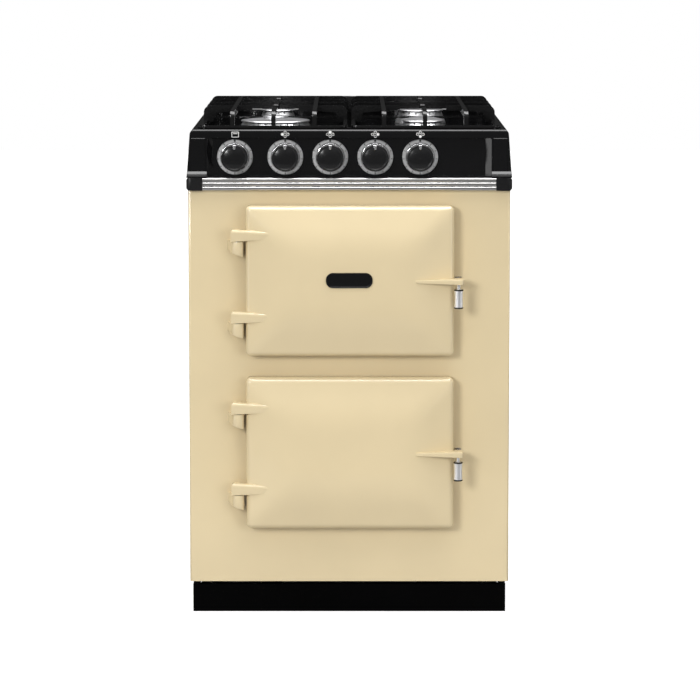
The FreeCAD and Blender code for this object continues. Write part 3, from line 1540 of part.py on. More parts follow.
def bridge(start, end, low):
    """An upright bar across the grate from one plan point to another, standing on a leg at each end."""
    way = V(end.x - start.x, end.y - start.y, 0)
    length = way.Length
    r, t, top = FINGER_SHOULDER, FINGER_THICK, SUPPORT_TOP
    under = top - FINGER_DEPTH
    c = r * (1 - math.sqrt(0.5))
    foot, splay = FINGER_LEG * 0.8, FINGER_LEG

    def at(along, z):
        return V(along, -t / 2, z)

    outline = chain(
        [
            line(at(0, low), at(foot, low)),
            line(at(foot, low), at(splay, under)),
            line(at(splay, under), at(length - splay, under)),
            line(at(length - splay, under), at(length - foot, low)),
            line(at(length - foot, low), at(length, low)),
            line(at(length, low), at(length, top - r)),
            arc(at(length, top - r), at(length - c, top - c), at(length - r, top)),
            line(at(length - r, top), at(r, top)),
            arc(at(r, top), at(c, top - c), at(0, top - r)),
            line(at(0, top - r), at(0, low)),
        ]
    )
    blade = outline.extrude(V(0, t, 0))
    blade.rotate(V(0, 0, 0), Z_AXIS, math.degrees(math.atan2(way.y, way.x)))
    blade.translate(V(start.x, start.y, 0))
    return blade


def pan_support(side):
    """One cast grate over a front and a rear burner; side is -1 for the left one."""
    near = SUPPORT_FROM_MIDDLE
    far = near + SUPPORT_WIDTH
    x0, x1 = sorted((side * near, side * far))
    low = HOB_TOP + SEAT_GAP + TRAY_SHEET + SUPPORT_FOOT_GAP
    high = low + SUPPORT_FRAME_HEIGHT
    bar = SUPPORT_BAR
    ring = rounded_block(x0, x1, SUPPORT_FRONT, SUPPORT_BACK, low, high, SUPPORT_CORNER, Z_AXIS)
    for y0, y1 in ((SUPPORT_FRONT, SUPPORT_MID_Y), (SUPPORT_MID_Y, SUPPORT_BACK)):
        front = y0 + (bar if y0 == SUPPORT_FRONT else bar / 2)
        back = y1 - (bar if y1 == SUPPORT_BACK else bar / 2)
        ring = ring.cut(box(x0 + bar, x1 - bar, front, back, low - CUT_PAST, high + CUT_PAST))
    middle = side * BURNER_X
    pieces = [ring]
    for _, x, y, _ in BURNERS:
        if x * side < 0:
            continue
        tip = FINGER_TIP_RADIUS
        pieces.append(finger(V(x0, y, 0), V(middle - tip, y, 0), low))
        pieces.append(finger(V(x1, y, 0), V(middle + tip, y, 0), low))
    tip = FINGER_TIP_RADIUS
    under = SUPPORT_TOP - FINGER_DEPTH
    for dx in (-FINGER_SIDE_STEP, FINGER_SIDE_STEP):
        pieces.append(bridge(V(middle + dx, SUPPORT_FRONT, 0), V(middle + dx, SUPPORT_BACK, 0), low))
    for y in (SUPPORT_MID_Y, SUPPORT_BACK - FINGER_THICK / 2):
        pieces.append(bridge(V(x0, y, 0), V(x1, y, 0), low))
    pieces.append(finger(V(middle, SUPPORT_FRONT, 0), V(middle, FRONT_BURNER_Y - tip, 0), low))
    pieces.append(finger(V(middle, SUPPORT_BACK, 0), V(middle, REAR_BURNER_Y + tip, 0), low))
    pieces.append(finger(V(middle, SUPPORT_MID_Y, 0), V(middle, FRONT_BURNER_Y + tip, 0), under))
    pieces.append(finger(V(middle, SUPPORT_MID_Y, 0), V(middle, REAR_BURNER_Y - tip, 0), under))
    return joined(pieces)


# Back panel services and fasteners


def gas_inlet():
    """The rear gas connection: stub, six-sided nut, neck through the back panel and elbow body inside."""
    half = INLET_RADIUS + SHEET
    inside = BACK_FACE - SHEET - SEAT_GAP
    nut_end = BACK_FACE + INLET_NUT
    stub = rod(
        INLET_RADIUS,
        V(INLET_X, nut_end, INLET_HEIGHT),
        V(INLET_X, BACK_FACE + INLET_LENGTH, INLET_HEIGHT),
    )
    neck = rod(
        INLET_NECK_RADIUS,
        V(INLET_X, inside - INLET_BODY / 2, INLET_HEIGHT),
        V(INLET_X, nut_end, INLET_HEIGHT),
    )
    corners = []
    for i in range(6):
        turn = math.radians(60 * i)
        corners.append(
            V(
                INLET_X + INLET_NUT_RADIUS * math.cos(turn),
                BACK_FACE + SEAT_GAP,
                INLET_HEIGHT + INLET_NUT_RADIUS * math.sin(turn),
            )
        )
    nut = prism(corners, V(0, INLET_NUT - SEAT_GAP, 0))
    body = box(
        INLET_X - half, INLET_X + half, inside - INLET_BODY, inside, INLET_HEIGHT - half, INLET_HEIGHT + half
    )
    riser = rod(
        INLET_RADIUS,
        V(INLET_X, inside - INLET_BODY / 2, INLET_HEIGHT),
        V(INLET_X, inside - INLET_BODY / 2, PLATE_TOP - SEAT_GAP),
    )
    return joined([stub, nut, neck, body, riser])


def terminal_cover():
    """The box over the mains terminals on the back panel, with the cable's entry in its floor."""
    front = BACK_FACE
    back = front + TERMINAL_DEPTH
    x0, x1 = TERMINAL_X - TERMINAL_WIDTH / 2, TERMINAL_X + TERMINAL_WIDTH / 2
    low, high = TERMINAL_BOTTOM, TERMINAL_BOTTOM + TERMINAL_HEIGHT
    cover = box(x0, x1, front, back, low, high)
    cover = cover.cut(box(x0 + SHEET, x1 - SHEET, front - CUT_PAST, back - SHEET, low + SHEET, high - SHEET))
    entry = V(TERMINAL_X, (front + back) / 2, low - CUT_PAST)
    return cover.cut(Part.makeCylinder(CABLE_RADIUS, SHEET + 2 * CUT_PAST, entry))


def panel_screws():
    """Pan-head screws along the two edges of the back panel."""
    screws = []
    x = SIDE_OUTER - SIDE_RETURN * 1.5
    rows = 4
    for side in (-1, 1):
        for i in range(rows):
            z = PLATE_BOTTOM + (i + 0.5) * (PLATE_TOP - PLATE_BOTTOM) / rows
            head = Part.makeCone(
                SCREW_RADIUS, SCREW_RADIUS * 0.6, SCREW_HEAD, V(side * x, BACK_FACE, z), Y_AXIS
            )
            screws.append(head)
    return screws


def group(shapes):
    """Several separate solids in one node."""
    return Part.makeCompound(shapes)


def all_pieces():
    """Every node of the cooker by name."""
    pieces = {
        "front_plate": front_plate(),
        "left_side_panel": side_panel(-1),
        "right_side_panel": side_panel(1),
        "back_panel": back_panel(),
        "base_tray": base_tray(),
        "plinth": plinth(),
        "levelling_feet": group(levelling_feet()),
        "oven_insulation": group(oven_insulation()),
        "shelf_runners": group(shelf_runners()),
        "oven_shelves": group([oven_shelf(centre) for _, centre in DOORS]),
        "oven_elements": group([oven_element(centre) for _, centre in DOORS]),
        "hob_deck": hob_deck(),
        "hob_surround": hob_surround(),
        "control_fascia": control_fascia(),
        "spill_tray": spill_tray(),
        "front_trim": front_trim(),
        "trim_end_caps": group(trim_end_caps()),
        "burner_bases": group([burner_base(x, y, cap) for _, x, y, cap in BURNERS]),
        "burner_caps": group([burner_cap(x, y, cap) for _, x, y, cap in BURNERS]),
        "spark_electrodes": group(spark_electrodes()),
        "flame_probes": group(flame_probes()),
        "knob_bezels": group(knob_bezels()),
        "gas_taps": group(gas_taps()),
        "gas_manifold": gas_manifold(),
        "burner_feed_pipes": group(burner_feed_pipes()),
        "oven_thermostat": oven_thermostat(),
        "hinge_pins": group(hinge_pins()),
        "door_catches": group(door_catches()),
        "gas_inlet": gas_inlet(),
        "terminal_cover": terminal_cover(),
        "panel_screws": group(panel_screws()),
        "badge_plate": badge_plate(UPPER_DOOR_CENTRE),
        "oven_knob": knob(OVEN_KNOB_X),
        "oven_knob_spindle": spindle(OVEN_KNOB_X),
        "left_pan_support": pan_support(-1),
        "right_pan_support": pan_support(1),
    }
    for name, centre in DOORS:
        pieces[name + "_oven_liner"] = oven_liner(centre)
        pieces[name + "_door"] = door_casting(centre)
        pieces[name + "_door_liner"] = door_liner(centre)
        pieces[name + "_door_insulation"] = door_insulation(centre)
        pieces[name + "_door_seal"] = door_seal(centre)
        pieces[name + "_door_handle"] = door_handle(centre)
    for x, (name, _, _, _) in zip(TAP_KNOB_XS, BURNERS):
        pieces[name + "_knob"] = knob(x)
        pieces[name + "_spindle"] = spindle(x)
        pieces[name + "_push_rod"] = push_rod(x)
    return pieces


def main():
    os.makedirs("parts", exist_ok=True)
    for name, shape in all_pieces().items():
        shape.translate(TO_ORIGIN)
        shape.exportStep("parts/" + name + ".step")
    print("origin shift", TO_ORIGIN)


main()
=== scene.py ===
"""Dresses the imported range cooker: door castings, dials and small fittings, the finishes and a studio stage."""

import math

import bpy
from bpy.props import FloatProperty, FloatVectorProperty, IntProperty, PointerProperty
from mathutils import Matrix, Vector


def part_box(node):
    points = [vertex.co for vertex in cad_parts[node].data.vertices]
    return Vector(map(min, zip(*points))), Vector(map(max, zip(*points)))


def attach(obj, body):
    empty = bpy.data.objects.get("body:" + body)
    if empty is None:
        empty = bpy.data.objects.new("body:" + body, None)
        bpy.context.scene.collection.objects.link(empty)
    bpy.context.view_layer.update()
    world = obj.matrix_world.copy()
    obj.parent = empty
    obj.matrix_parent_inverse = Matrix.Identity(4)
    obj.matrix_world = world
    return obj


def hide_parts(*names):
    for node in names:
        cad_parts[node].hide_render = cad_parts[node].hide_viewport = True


bl_info = {
    "name": "Range cooker dresser",
    "version": (1, 0, 0),
    "blender": (4, 5, 0),
    "location": "View3D > Sidebar > Cooker",
    "description": "Models and finishes the visible pieces of a two-oven range cooker on its packed frame",
    "category": "Object",
}

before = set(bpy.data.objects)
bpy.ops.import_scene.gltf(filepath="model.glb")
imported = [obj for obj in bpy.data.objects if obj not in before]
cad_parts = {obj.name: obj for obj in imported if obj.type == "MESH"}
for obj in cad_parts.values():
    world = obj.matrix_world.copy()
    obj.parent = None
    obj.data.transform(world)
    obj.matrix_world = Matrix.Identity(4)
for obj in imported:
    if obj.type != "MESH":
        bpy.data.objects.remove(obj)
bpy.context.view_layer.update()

BURNERS = ("front_left", "rear_left", "rear_right", "front_right")
KNOBS = ("oven",) + BURNERS
DOORS = ("upper", "lower")
X, Y, Z = range(3)
# Points that lie this close in height or depth count as level
LEVEL = 1e-6


def box_of(node):
    """A node's lowest and highest corner as vectors."""
    low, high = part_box(node)
    return Vector(low), Vector(high)


def middle_of(node):
    """The middle of a node's box."""
    low, high = box_of(node)
    return (low + high) / 2


PLATE_FRONT_Y = box_of("front_plate")[0].y
FASCIA_TOP = box_of("control_fascia")[1].z
BEZEL_FRONT_Y, FASCIA_FACE_Y = (corner.y for corner in box_of("knob_bezels"))
DOOR_MIDDLE = {door: sum(corner.z for corner in box_of(door + "_door_seal")) / 2 for door in DOORS}
KNOB_CENTRE = {name: middle_of("oven_knob_spindle" if name == "oven" else name + "_spindle") for name in KNOBS}


# Settings a user would change


def length(label, text, metres):
    """A setting that holds a length."""
    return FloatProperty(name=label, description=text, default=metres, unit="LENGTH")


def colour_setting(label, text, rgb):
    """A setting that holds a colour."""
    return FloatVectorProperty(name=label, description=text, default=rgb, subtype="COLOR", size=3)


class CookerSizes(bpy.types.PropertyGroup):
    """Sizes of the modelled pieces."""

    door_width: length("Door width", "Width of a door casting", 0.388)
    door_height: length("Door height", "Height of a door casting", 0.272)
    door_rim: length("Door rim", "Depth of a door's straight edge", 0.030)
    door_crown: length("Door crown", "How far the door's cushion rises", 0.0218)
    crown_reach: length("Crown reach", "How far in from the edge the crown rises", 0.070)
    crown_blend: length("Crown blend", "How softly the slopes run into the crown", 0.030)
    hip_round: length("Hip round", "Softness of the crown's hip lines", 0.022)
    door_edge: length("Door edge", "Radius of the door's front edge", 0.009)
    door_corner: length("Door corner", "Radius of the door's corners", 0.009)
    lug_height: length("Hinge lug height", "Height of a hinge lug on a door", 0.023)
    fin_height: length("Handle fin height", "Height of the fin that carries a grip", 0.010)
    dial_marks: IntProperty(name="Dial marks", description="Graduations on each dial", default=11, min=3, max=24)
    cast_round: length("Cast edge", "Edge round on the pan supports", 0.0024)


class CookerColours(bpy.types.PropertyGroup):
    """Colours of the finishes."""

    cream: colour_setting("Cream", "Body enamel", (0.720, 0.596, 0.372))
    black: colour_setting("Black", "Hob enamel", (0.0042, 0.0042, 0.0046))
    floor: colour_setting("Floor", "Pale studio floor", (0.88, 0.88, 0.88))


class CookerStage(bpy.types.PropertyGroup):
    """Camera and light settings."""

    distance: length("Distance", "Camera to front plate", 6.0)
    height: length("Height", "Camera above the floor", 1.2876)
    tilt: FloatProperty(
        name="Tilt", description="Camera's downward tilt", default=math.radians(6.513), subtype="ANGLE"
    )
    lens: FloatProperty(name="Lens", description="Focal length in millimetres", default=167.08)
    key: FloatProperty(name="Key light", description="Power of the key light", default=85.0, subtype="POWER")
    overhead: FloatProperty(name="Overhead", description="Strength of the light from above", default=0.8)
    floor_bounce: FloatProperty(
        name="Floor bounce", description="Share of the floor's light that reaches the cooker", default=0.45
    )


# Modelling helpers


def settings(group):
    """One of the three settings groups of this scene."""
    return getattr(bpy.context.scene, "cooker_" + group)


def clear_selection():
    """Leaves nothing selected and object mode on."""
    if bpy.context.object and bpy.context.object.mode != "OBJECT":
        bpy.ops.object.mode_set(mode="OBJECT")
    bpy.ops.object.select_all(action="DESELECT")


def make_active(piece):
    """Selects one piece alone."""
    clear_selection()
    piece.select_set(True)
    bpy.context.view_layer.objects.active = piece


def settle(piece):
    """Moves a piece's place, turn and scale into its mesh."""
    make_active(piece)
    bpy.ops.object.transform_apply(location=True, rotation=True, scale=True)


def added(name):
    """The piece just added, named and settled."""
    piece = bpy.context.object
    piece.name = name
    settle(piece)
    return piece


def new_block(name, low, high):
    """Adds a box between two corners."""
    clear_selection()
    low, high = Vector(low), Vector(high)
    bpy.ops.mesh.primitive_cube_add(size=1, location=(low + high) / 2, scale=high - low)
    return added(name)


def new_disc(name, centre, radius, depth, sides):
    """Adds a round disc that faces the front, with its middle at a point."""
    clear_selection()
    bpy.ops.mesh.primitive_cylinder_add(
        vertices=sides, radius=radius, depth=depth, location=centre, rotation=(math.pi / 2, 0, 0)
    )
    return added(name)


def new_ring(name, centre, radius, section, sides, around, along="Y"):
    """Adds a round ring with its middle at a point."""
    clear_selection()
    turn = (math.pi / 2, 0, 0) if along == "Y" else (0, 0, 0)
    bpy.ops.mesh.primitive_torus_add(
        location=centre,
        rotation=turn,
        major_radius=radius,
        minor_radius=section,
        major_segments=sides,
        minor_segments=around,
    )
    return added(name)


def pick(piece, kind, test):
    """Enters edit mode with only the faces, edges or vertices that a test accepts selected."""
    make_active(piece)
    bpy.ops.object.mode_set(mode="EDIT")
    bpy.ops.mesh.select_mode(type=kind)
    bpy.ops.mesh.select_all(action="DESELECT")
    bpy.ops.object.mode_set(mode="OBJECT")
    mesh = piece.data
    if kind == "FACE":
        for face in mesh.polygons:
            face.select = test(face)
    elif kind == "EDGE":
        for edge in mesh.edges:
            edge.select = test(*(mesh.vertices[i].co for i in edge.vertices))
    else:
        for point in mesh.vertices:
            point.select = test(point.co)
    bpy.ops.object.mode_set(mode="EDIT")


def leave_edit():
    """Goes back to object mode."""
    bpy.ops.object.mode_set(mode="OBJECT")


def move_points(piece, test, step):
    """Moves the vertices that a test accepts."""
    pick(piece, "VERT", test)
    bpy.ops.transform.translate(value=step)
    leave_edit()


def bevel_edges(piece, test, width, segments):
    """Rounds the edges that a test accepts."""
    pick(piece, "EDGE", test)
    bpy.ops.mesh.bevel(offset=width, offset_type="OFFSET", segments=segments, profile=0.5, clamp_overlap=True)
    leave_edit()


def soft_least(a, b, blend):
    """The lesser of two lengths, with the change from one to the other rounded."""
    share = min(1.0, max(0.0, 0.5 + 0.5 * (b - a) / blend))
    return b + (a - b) * share - blend * share * (1.0 - share)


def lies_along(a, b, axis):
    """Whether an edge runs along X, Y or Z."""
    way = b - a
    return way.length > 1e-9 and abs(way[axis]) / way.length > 0.999


def shade(piece, degrees=40):
    """Smooth shading with hard edges past an angle."""
    make_active(piece)
    bpy.ops.object.shade_smooth_by_angle(angle=math.radians(degrees))


def joined(name, pieces):
    """One piece out of several."""
    clear_selection()
    for piece in pieces:
        piece.select_set(True)
    bpy.context.view_layer.objects.active = pieces[0]
    bpy.ops.object.join()
    piece = bpy.context.object
    piece.name = name
    return piece


def handed_in(piece, body, slot, finish=None, replaced=()):
    """Gives a piece its body and a finish, which is the slot's own unless another is named."""
    piece.data.materials.clear()
    piece.data.materials.append(finish_of(finish or slot))
    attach(piece, body)
    if replaced:
        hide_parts(*replaced)


# Shader groups

# A Mix node has its sockets for plain numbers first and those for colours last.
MIX_NUMBER_INPUTS, MIX_NUMBER_OUTPUT = (2, 3), 0
MIX_COLOUR_INPUTS, MIX_COLOUR_OUTPUT = (6, 7), 2
SHADER_VALUES = {"Coat Roughness": 0.03, "IOR": 1.5}
COAT_CLOUD = 5.0
COAT_BUMP, METAL_BUMP, FLECK_BUMP, FIBRE_BUMP = 0.0006, 0.0002, 0.0005, 0.001
FLECK_BLUR, FLECK_WAVES, FLECK_RIPPLE = 0.06, 80.0, 0.12
FIBRE_SQUEEZE, FIBRE_TINTS, FIBRE_ROUGH, FIBRE_HEIGHT = 0.3, (0.55, 1.2), (0.8, 0.98), 0.8
# The part of a noise's range that is spread out to run from 0 to 1
COAT_SPAN, LINES_SPAN, SMUDGE_SPAN = (0.3, 0.7), (0.25, 0.75), (0.35, 0.7)


def put(tree, item, socket):
    """Sets a socket to a plain value, or links it to another socket."""
    if isinstance(item, bpy.types.NodeSocket):
        tree.links.new(item, socket)
    else:
        socket.default_value = item


def group_tree(name, inputs, outputs):
    """An empty shader group that takes a vector and named values and gives named numbers, with its inner sockets."""
    tree = bpy.data.node_groups.new(name, "ShaderNodeTree")
    for label, default in {"Vector": (0, 0, 0), **inputs}.items():
        kind = "NodeSocketVector" if isinstance(default, tuple) else "NodeSocketFloat"
        tree.interface.new_socket(name=label, in_out="INPUT", socket_type=kind).default_value = default
    for label in outputs:
        tree.interface.new_socket(name=label, in_out="OUTPUT", socket_type="NodeSocketFloat")
    return tree, tree.nodes.new("NodeGroupInput").outputs, tree.nodes.new("NodeGroupOutput").inputs


def noise(tree, vector, scale, detail=2.0, rough=0.5):
    """A noise in a tree; scale may be a socket or a number."""
    node = tree.nodes.new("ShaderNodeTexNoise")
    node.inputs["Detail"].default_value = detail
    node.inputs["Roughness"].default_value = rough
    tree.links.new(vector, node.inputs["Vector"])
    put(tree, scale, node.inputs["Scale"])
    return node.outputs["Fac"]


def ranged(tree, value, from_low, from_high, to_low=0.0, to_high=1.0):
    """A value carried over from one range to another, and held inside it."""
    node = tree.nodes.new("ShaderNodeMapRange")
    node.clamp = True
    ends = {"From Min": from_low, "From Max": from_high, "To Min": to_low, "To Max": to_high}
    for label, number in ends.items():
        node.inputs[label].default_value = number
    tree.links.new(value, node.inputs["Value"])
    return node.outputs["Result"]


def sums(tree, operation, first, second):
    """A Math node over sockets or numbers."""
    node = tree.nodes.new("ShaderNodeMath")
    node.operation = operation
    for i, item in enumerate((first, second)):
        put(tree, item, node.inputs[i])
    return node.outputs[0]


def make_mottle_group():
    """Broad cloudiness and fine grain of a fired or painted coat."""
    tree, entry, leave = group_tree("coat_mottle", {"Cloud Scale": 6.0, "Grain Scale": 400.0}, ("Cloud", "Grain"))
    cloud = noise(tree, entry["Vector"], entry["Cloud Scale"], 3.0, 0.55)
    grain = noise(tree, entry["Vector"], entry["Grain Scale"], 2.0, 0.6)
    tree.links.new(ranged(tree, cloud, *COAT_SPAN), leave["Cloud"])
    tree.links.new(ranged(tree, grain, *COAT_SPAN), leave["Grain"])
    return tree


def make_ripple_group():
    """The slow waves and fine pores that a glossy coat shows in its reflections."""
    tree, entry, leave = group_tree(
        "coat_ripple", {"Wave Scale": 60.0, "Pore Scale": 700.0, "Pore Share": 0.3}, ("Height",)
    )
    wave = noise(tree, entry["Vector"], entry["Wave Scale"], 2.0, 0.4)
    pore = noise(tree, entry["Vector"], entry["Pore Scale"], 1.0, 0.5)
    share = sums(tree, "MULTIPLY", pore, entry["Pore Share"])
    tree.links.new(sums(tree, "ADD", wave, share), leave["Height"])
    return tree


def make_brush_group():
    """Fine parallel lines of brushed or drawn metal; the stretch vector squeezes the noise along the lines."""
    tree, entry, leave = group_tree(
        "metal_brush", {"Stretch": (1.0, 1.0, 1.0), "Smudge Scale": 9.0}, ("Lines", "Smudge")
    )
    mapping = tree.nodes.new("ShaderNodeMapping")
    tree.links.new(entry["Vector"], mapping.inputs["Vector"])
    tree.links.new(entry["Stretch"], mapping.inputs["Scale"])
    lines = noise(tree, mapping.outputs["Vector"], 1.0, 4.0, 0.7)
    smudge = noise(tree, entry["Vector"], entry["Smudge Scale"], 3.0, 0.6)
    tree.links.new(ranged(tree, lines, *LINES_SPAN), leave["Lines"])
    tree.links.new(ranged(tree, smudge, *SMUDGE_SPAN), leave["Smudge"])
    return tree


def make_fleck_group():
    """Scattered round flecks, as in speckled oven enamel or zinc spangle."""
    tree, entry, leave = group_tree("flecks", {"Scale": 300.0, "Size": 0.25}, ("Mask", "Cells"))
    cells = tree.nodes.new("ShaderNodeTexVoronoi")
    tree.links.new(entry["Vector"], cells.inputs["Vector"])
    tree.links.new(entry["Scale"], cells.inputs["Scale"])
    inside = sums(tree, "SUBTRACT", entry["Size"], cells.outputs["Distance"])
    tree.links.new(ranged(tree, inside, 0.0, FLECK_BLUR), leave["Mask"])
    shades = tree.nodes.new("ShaderNodeSeparateColor")
    tree.links.new(cells.outputs["Color"], shades.inputs["Color"])
    tree.links.new(shades.outputs["Red"], leave["Cells"])
    return tree


GROUP_MAKERS = {
    "mottle": make_mottle_group,
    "ripple": make_ripple_group,
    "brush": make_brush_group,
    "fleck": make_fleck_group,
}
GROUPS = {}


def placed_group(material, key, **values):
    """The outputs of a shader group in a material, with its own values and reading Object coordinates."""
    if key not in GROUPS:
        GROUPS[key] = GROUP_MAKERS[key]()
    tree = material.node_tree
    node = tree.nodes.new("ShaderNodeGroup")
    node.node_tree = GROUPS[key]
    tree.links.new(coordinates(material), node.inputs["Vector"])
    for label, value in values.items():
        node.inputs[label.replace("_", " ").title()].default_value = value
    return node.outputs


def coordinates(material):
    """The Object coordinate socket of a material, made once."""
    node = material.node_tree.nodes.get("Texture Coordinate")
    if node is None:
        node = material.node_tree.nodes.new("ShaderNodeTexCoord")
    return node.outputs["Object"]


def new_material(name, metallic=0.0, coat=0.0, specular=0.5):
    """A material with its plain shader values set."""
    material = bpy.data.materials.new(name)
    material.use_nodes = True
    shader = material.node_tree.nodes["Principled BSDF"]
    values = {"Metallic": metallic, "Coat Weight": coat, "Specular IOR Level": specular, **SHADER_VALUES}
    for label, value in values.items():
        shader.inputs[label].default_value = value
    return material, material.node_tree, shader


def blended(tree, mask, first, second):
    """A mix by a mask of two colours, each a plain one or a socket."""
    node = tree.nodes.new("ShaderNodeMix")
    node.data_type = "RGBA"
    for i, colour in zip(MIX_COLOUR_INPUTS, (first, second)):
        put(tree, (*colour, 1.0) if isinstance(colour, tuple) else colour, node.inputs[i])
    tree.links.new(mask, node.inputs["Factor"])
    return node.outputs[MIX_COLOUR_OUTPUT]


def dressed(tree, shader, tint, grain, rough, height, strength, distance):
    """Feeds a shader a colour, a grain spread over a range of roughness, and a height as bump."""
    tree.links.new(tint, shader.inputs["Base Color"])
    tree.links.new(ranged(tree, grain, 0.0, 1.0, *rough), shader.inputs["Roughness"])
    node = tree.nodes.new("ShaderNodeBump")
    node.inputs["Strength"].default_value = strength
    node.inputs["Distance"].default_value = distance
    tree.links.new(height, node.inputs["Height"])
    tree.links.new(node.outputs["Normal"], shader.inputs["Normal"])


def shaded(colour, factor):
    """A colour made lighter or darker."""
    return tuple(min(1.0, c * factor) for c in colour)


def coat_finish(name, colour, rough, ripple, coat=0.0, specular=0.5, depth=0.05, waves=45.0, pores=650.0):
    """A fired, painted or moulded coat: cloudy colour, varying gloss and rippled reflections."""
    material, tree, shader = new_material(name, coat=coat, specular=specular)
    mottle = placed_group(material, "mottle", cloud_scale=COAT_CLOUD)
    height = placed_group(material, "ripple", wave_scale=waves, pore_scale=pores)["Height"]
    tint = blended(tree, mottle["Cloud"], shaded(colour, 1.0 - depth), shaded(colour, 1.0 + depth))
    dressed(tree, shader, tint, mottle["Grain"], rough, height, ripple, COAT_BUMP)
    return material


def metal_finish(name, colour, rough, stretch=(300.0, 300.0, 300.0), depth=0.12, lines=0.15):
    """A bare or plated metal with drawn lines and faint smudges."""
    material, tree, shader = new_material(name, metallic=1.0)
    brush = placed_group(material, "brush", stretch=stretch)
    tint = blended(tree, brush["Smudge"], shaded(colour, 1.0 + depth / 2), shaded(colour, 1.0 - depth))
    drawn = brush["Lines"]
    dressed(tree, shader, tint, drawn, rough, drawn, lines, METAL_BUMP)
    return material


def flecked_finish(name, colour, fleck, scale, size, rough, metallic=0.0, spangle=False):
    """A coat with scattered flecks or spangle cells."""
    material, tree, shader = new_material(name, metallic=metallic)
    spots = placed_group(material, "fleck", scale=scale, size=size)
    tint = blended(tree, spots["Cells" if spangle else "Mask"], colour, fleck)
    height = placed_group(material, "ripple", wave_scale=FLECK_WAVES)["Height"]
    dressed(tree, shader, tint, spots["Cells"], rough, height, FLECK_RIPPLE, FLECK_BUMP)
    return material


def fibre_finish(name, colour, scale):
    """Wool or woven rope: tangled fibres with deep bump."""
    material, tree, shader = new_material(name, specular=0.2)
    fibres = placed_group(material, "brush", stretch=(scale, scale * FIBRE_SQUEEZE, scale))
    tint = blended(tree, fibres["Lines"], *(shaded(colour, factor) for factor in FIBRE_TINTS))
    lines, smudge = fibres["Lines"], fibres["Smudge"]
    dressed(tree, shader, tint, smudge, FIBRE_ROUGH, lines, FIBRE_HEIGHT, FIBRE_BUMP)
    return material


def finish_table():
    """Every finish of the cooker by name, with the function, the values and the options that make it."""
    cream = tuple(settings("colours").cream)
    black = tuple(settings("colours").black)
    moulding = (0.006, 0.006, 0.0065)
    # Colour, least and greatest roughness, strength of the ripple
    coats = {
        "cream_enamel": (cream, (0.10, 0.20), 0.10, {"coat": 0.35, "depth": 0.03, "waves": 30.0}),
        "side_paint": (shaded(cream, 0.95), (0.24, 0.36), 0.12, {"depth": 0.04, "pores": 500.0}),
        "black_enamel": (black, (0.05, 0.12), 0.10, {"specular": 0.3, "depth": 0.25, "waves": 35.0}),
        "plinth_black": (
            shaded(black, 0.3), (0.40, 0.52), 0.15, {"specular": 0.02, "depth": 0.25, "waves": 60.0}
        ),
        "cast_black": (
            (0.003, 0.003, 0.0032),
            (0.14, 0.26),
            0.5,
            {"specular": 0.5, "depth": 0.3, "waves": 170.0, "pores": 900.0},
        ),
        "knob_black": (moulding, (0.16, 0.24), 0.05, {"specular": 0.4, "depth": 0.2}),
        "cap_black": (moulding, (0.34, 0.48), 0.3, {"specular": 0.25, "depth": 0.2, "waves": 500.0}),
        "white_print": ((0.82, 0.82, 0.80), (0.35, 0.45), 0.1, {"depth": 0.04}),
        "dial_ink": ((0.012, 0.012, 0.012), (0.35, 0.5), 0.1, {"depth": 0.2}),
        "white_ceramic": ((0.80, 0.78, 0.72), (0.12, 0.22), 0.1, {"coat": 0.3, "depth": 0.05}),
    }
    # Colour, least and greatest roughness
    metals = {
        "bright_trim": ((0.52, 0.515, 0.51), (0.20, 0.28), {"stretch": (30.0, 900.0, 900.0), "lines": 0.01}),
        "burner_alloy": ((0.74, 0.74, 0.75), (0.24, 0.40), {"stretch": (500.0, 500.0, 160.0), "lines": 0.3}),
        "burner_cap_alloy": ((0.52, 0.52, 0.53), (0.30, 0.42), {"stretch": (420.0, 420.0, 420.0), "lines": 0.2}),
        "plated": ((0.88, 0.88, 0.89), (0.10, 0.18), {"depth": 0.05, "lines": 0.03}),
        "grip_metal": ((0.95, 0.95, 0.96), (0.36, 0.46), {"depth": 0.05, "lines": 0.02}),
        "bezel_metal": ((0.93, 0.93, 0.93), (0.34, 0.46), {"stretch": (700.0, 200.0, 40.0)}),
        "steel_pin": ((0.56, 0.56, 0.57), (0.18, 0.34), {"stretch": (900.0, 900.0, 30.0)}),
        "liner_steel": ((0.60, 0.60, 0.60), (0.22, 0.38), {"stretch": (6.0, 700.0, 700.0)}),
        "brass_fitting": ((0.76, 0.55, 0.24), (0.16, 0.32), {"stretch": (300.0, 900.0, 300.0)}),
    }
    # Colour, the flecks' colour, scale and size, least and greatest roughness
    flecked = {
        "galvanised": (
            (0.46, 0.47, 0.49), (0.62, 0.63, 0.65), 70.0, 0.3, (0.28, 0.48), {"metallic": 1.0, "spangle": True}
        ),
        "oven_enamel": ((0.018, 0.018, 0.022), (0.55, 0.56, 0.60), 320.0, 0.16, (0.16, 0.26), {}),
    }
    # Colour, scale of the fibres
    fibres = {
        "wool": ((0.78, 0.74, 0.60), 600.0, {}),
        "seal_rope": ((0.15, 0.14, 0.13), 1500.0, {}),
    }
    kinds = ((coat_finish, coats), (metal_finish, metals), (flecked_finish, flecked), (fibre_finish, fibres))
    return {name: (maker, row) for maker, rows in kinds for name, row in rows.items()}


def finish_of(name):
    """A finish by name, made when it is first asked for."""
    found = bpy.data.materials.get(name + "_finish")
    if found:
        return found
    maker, (*values, options) = finish_table()[name]
    return maker(name + "_finish", *values, **options)


# Doors

# How much further each door's lip laps the plate above and below than the solid does, and its gap to the lugs
DOOR_LAP = {"upper": (0.0015, 0.0056), "lower": (0.0038, 0.0075)}
DOOR_HINGE_GAP = 0.0025
CUSHION_GRID = (104, 80)
BACK_CHAMFER = 0.001
BACK_TAPER = (0.997, 1, 0.996)

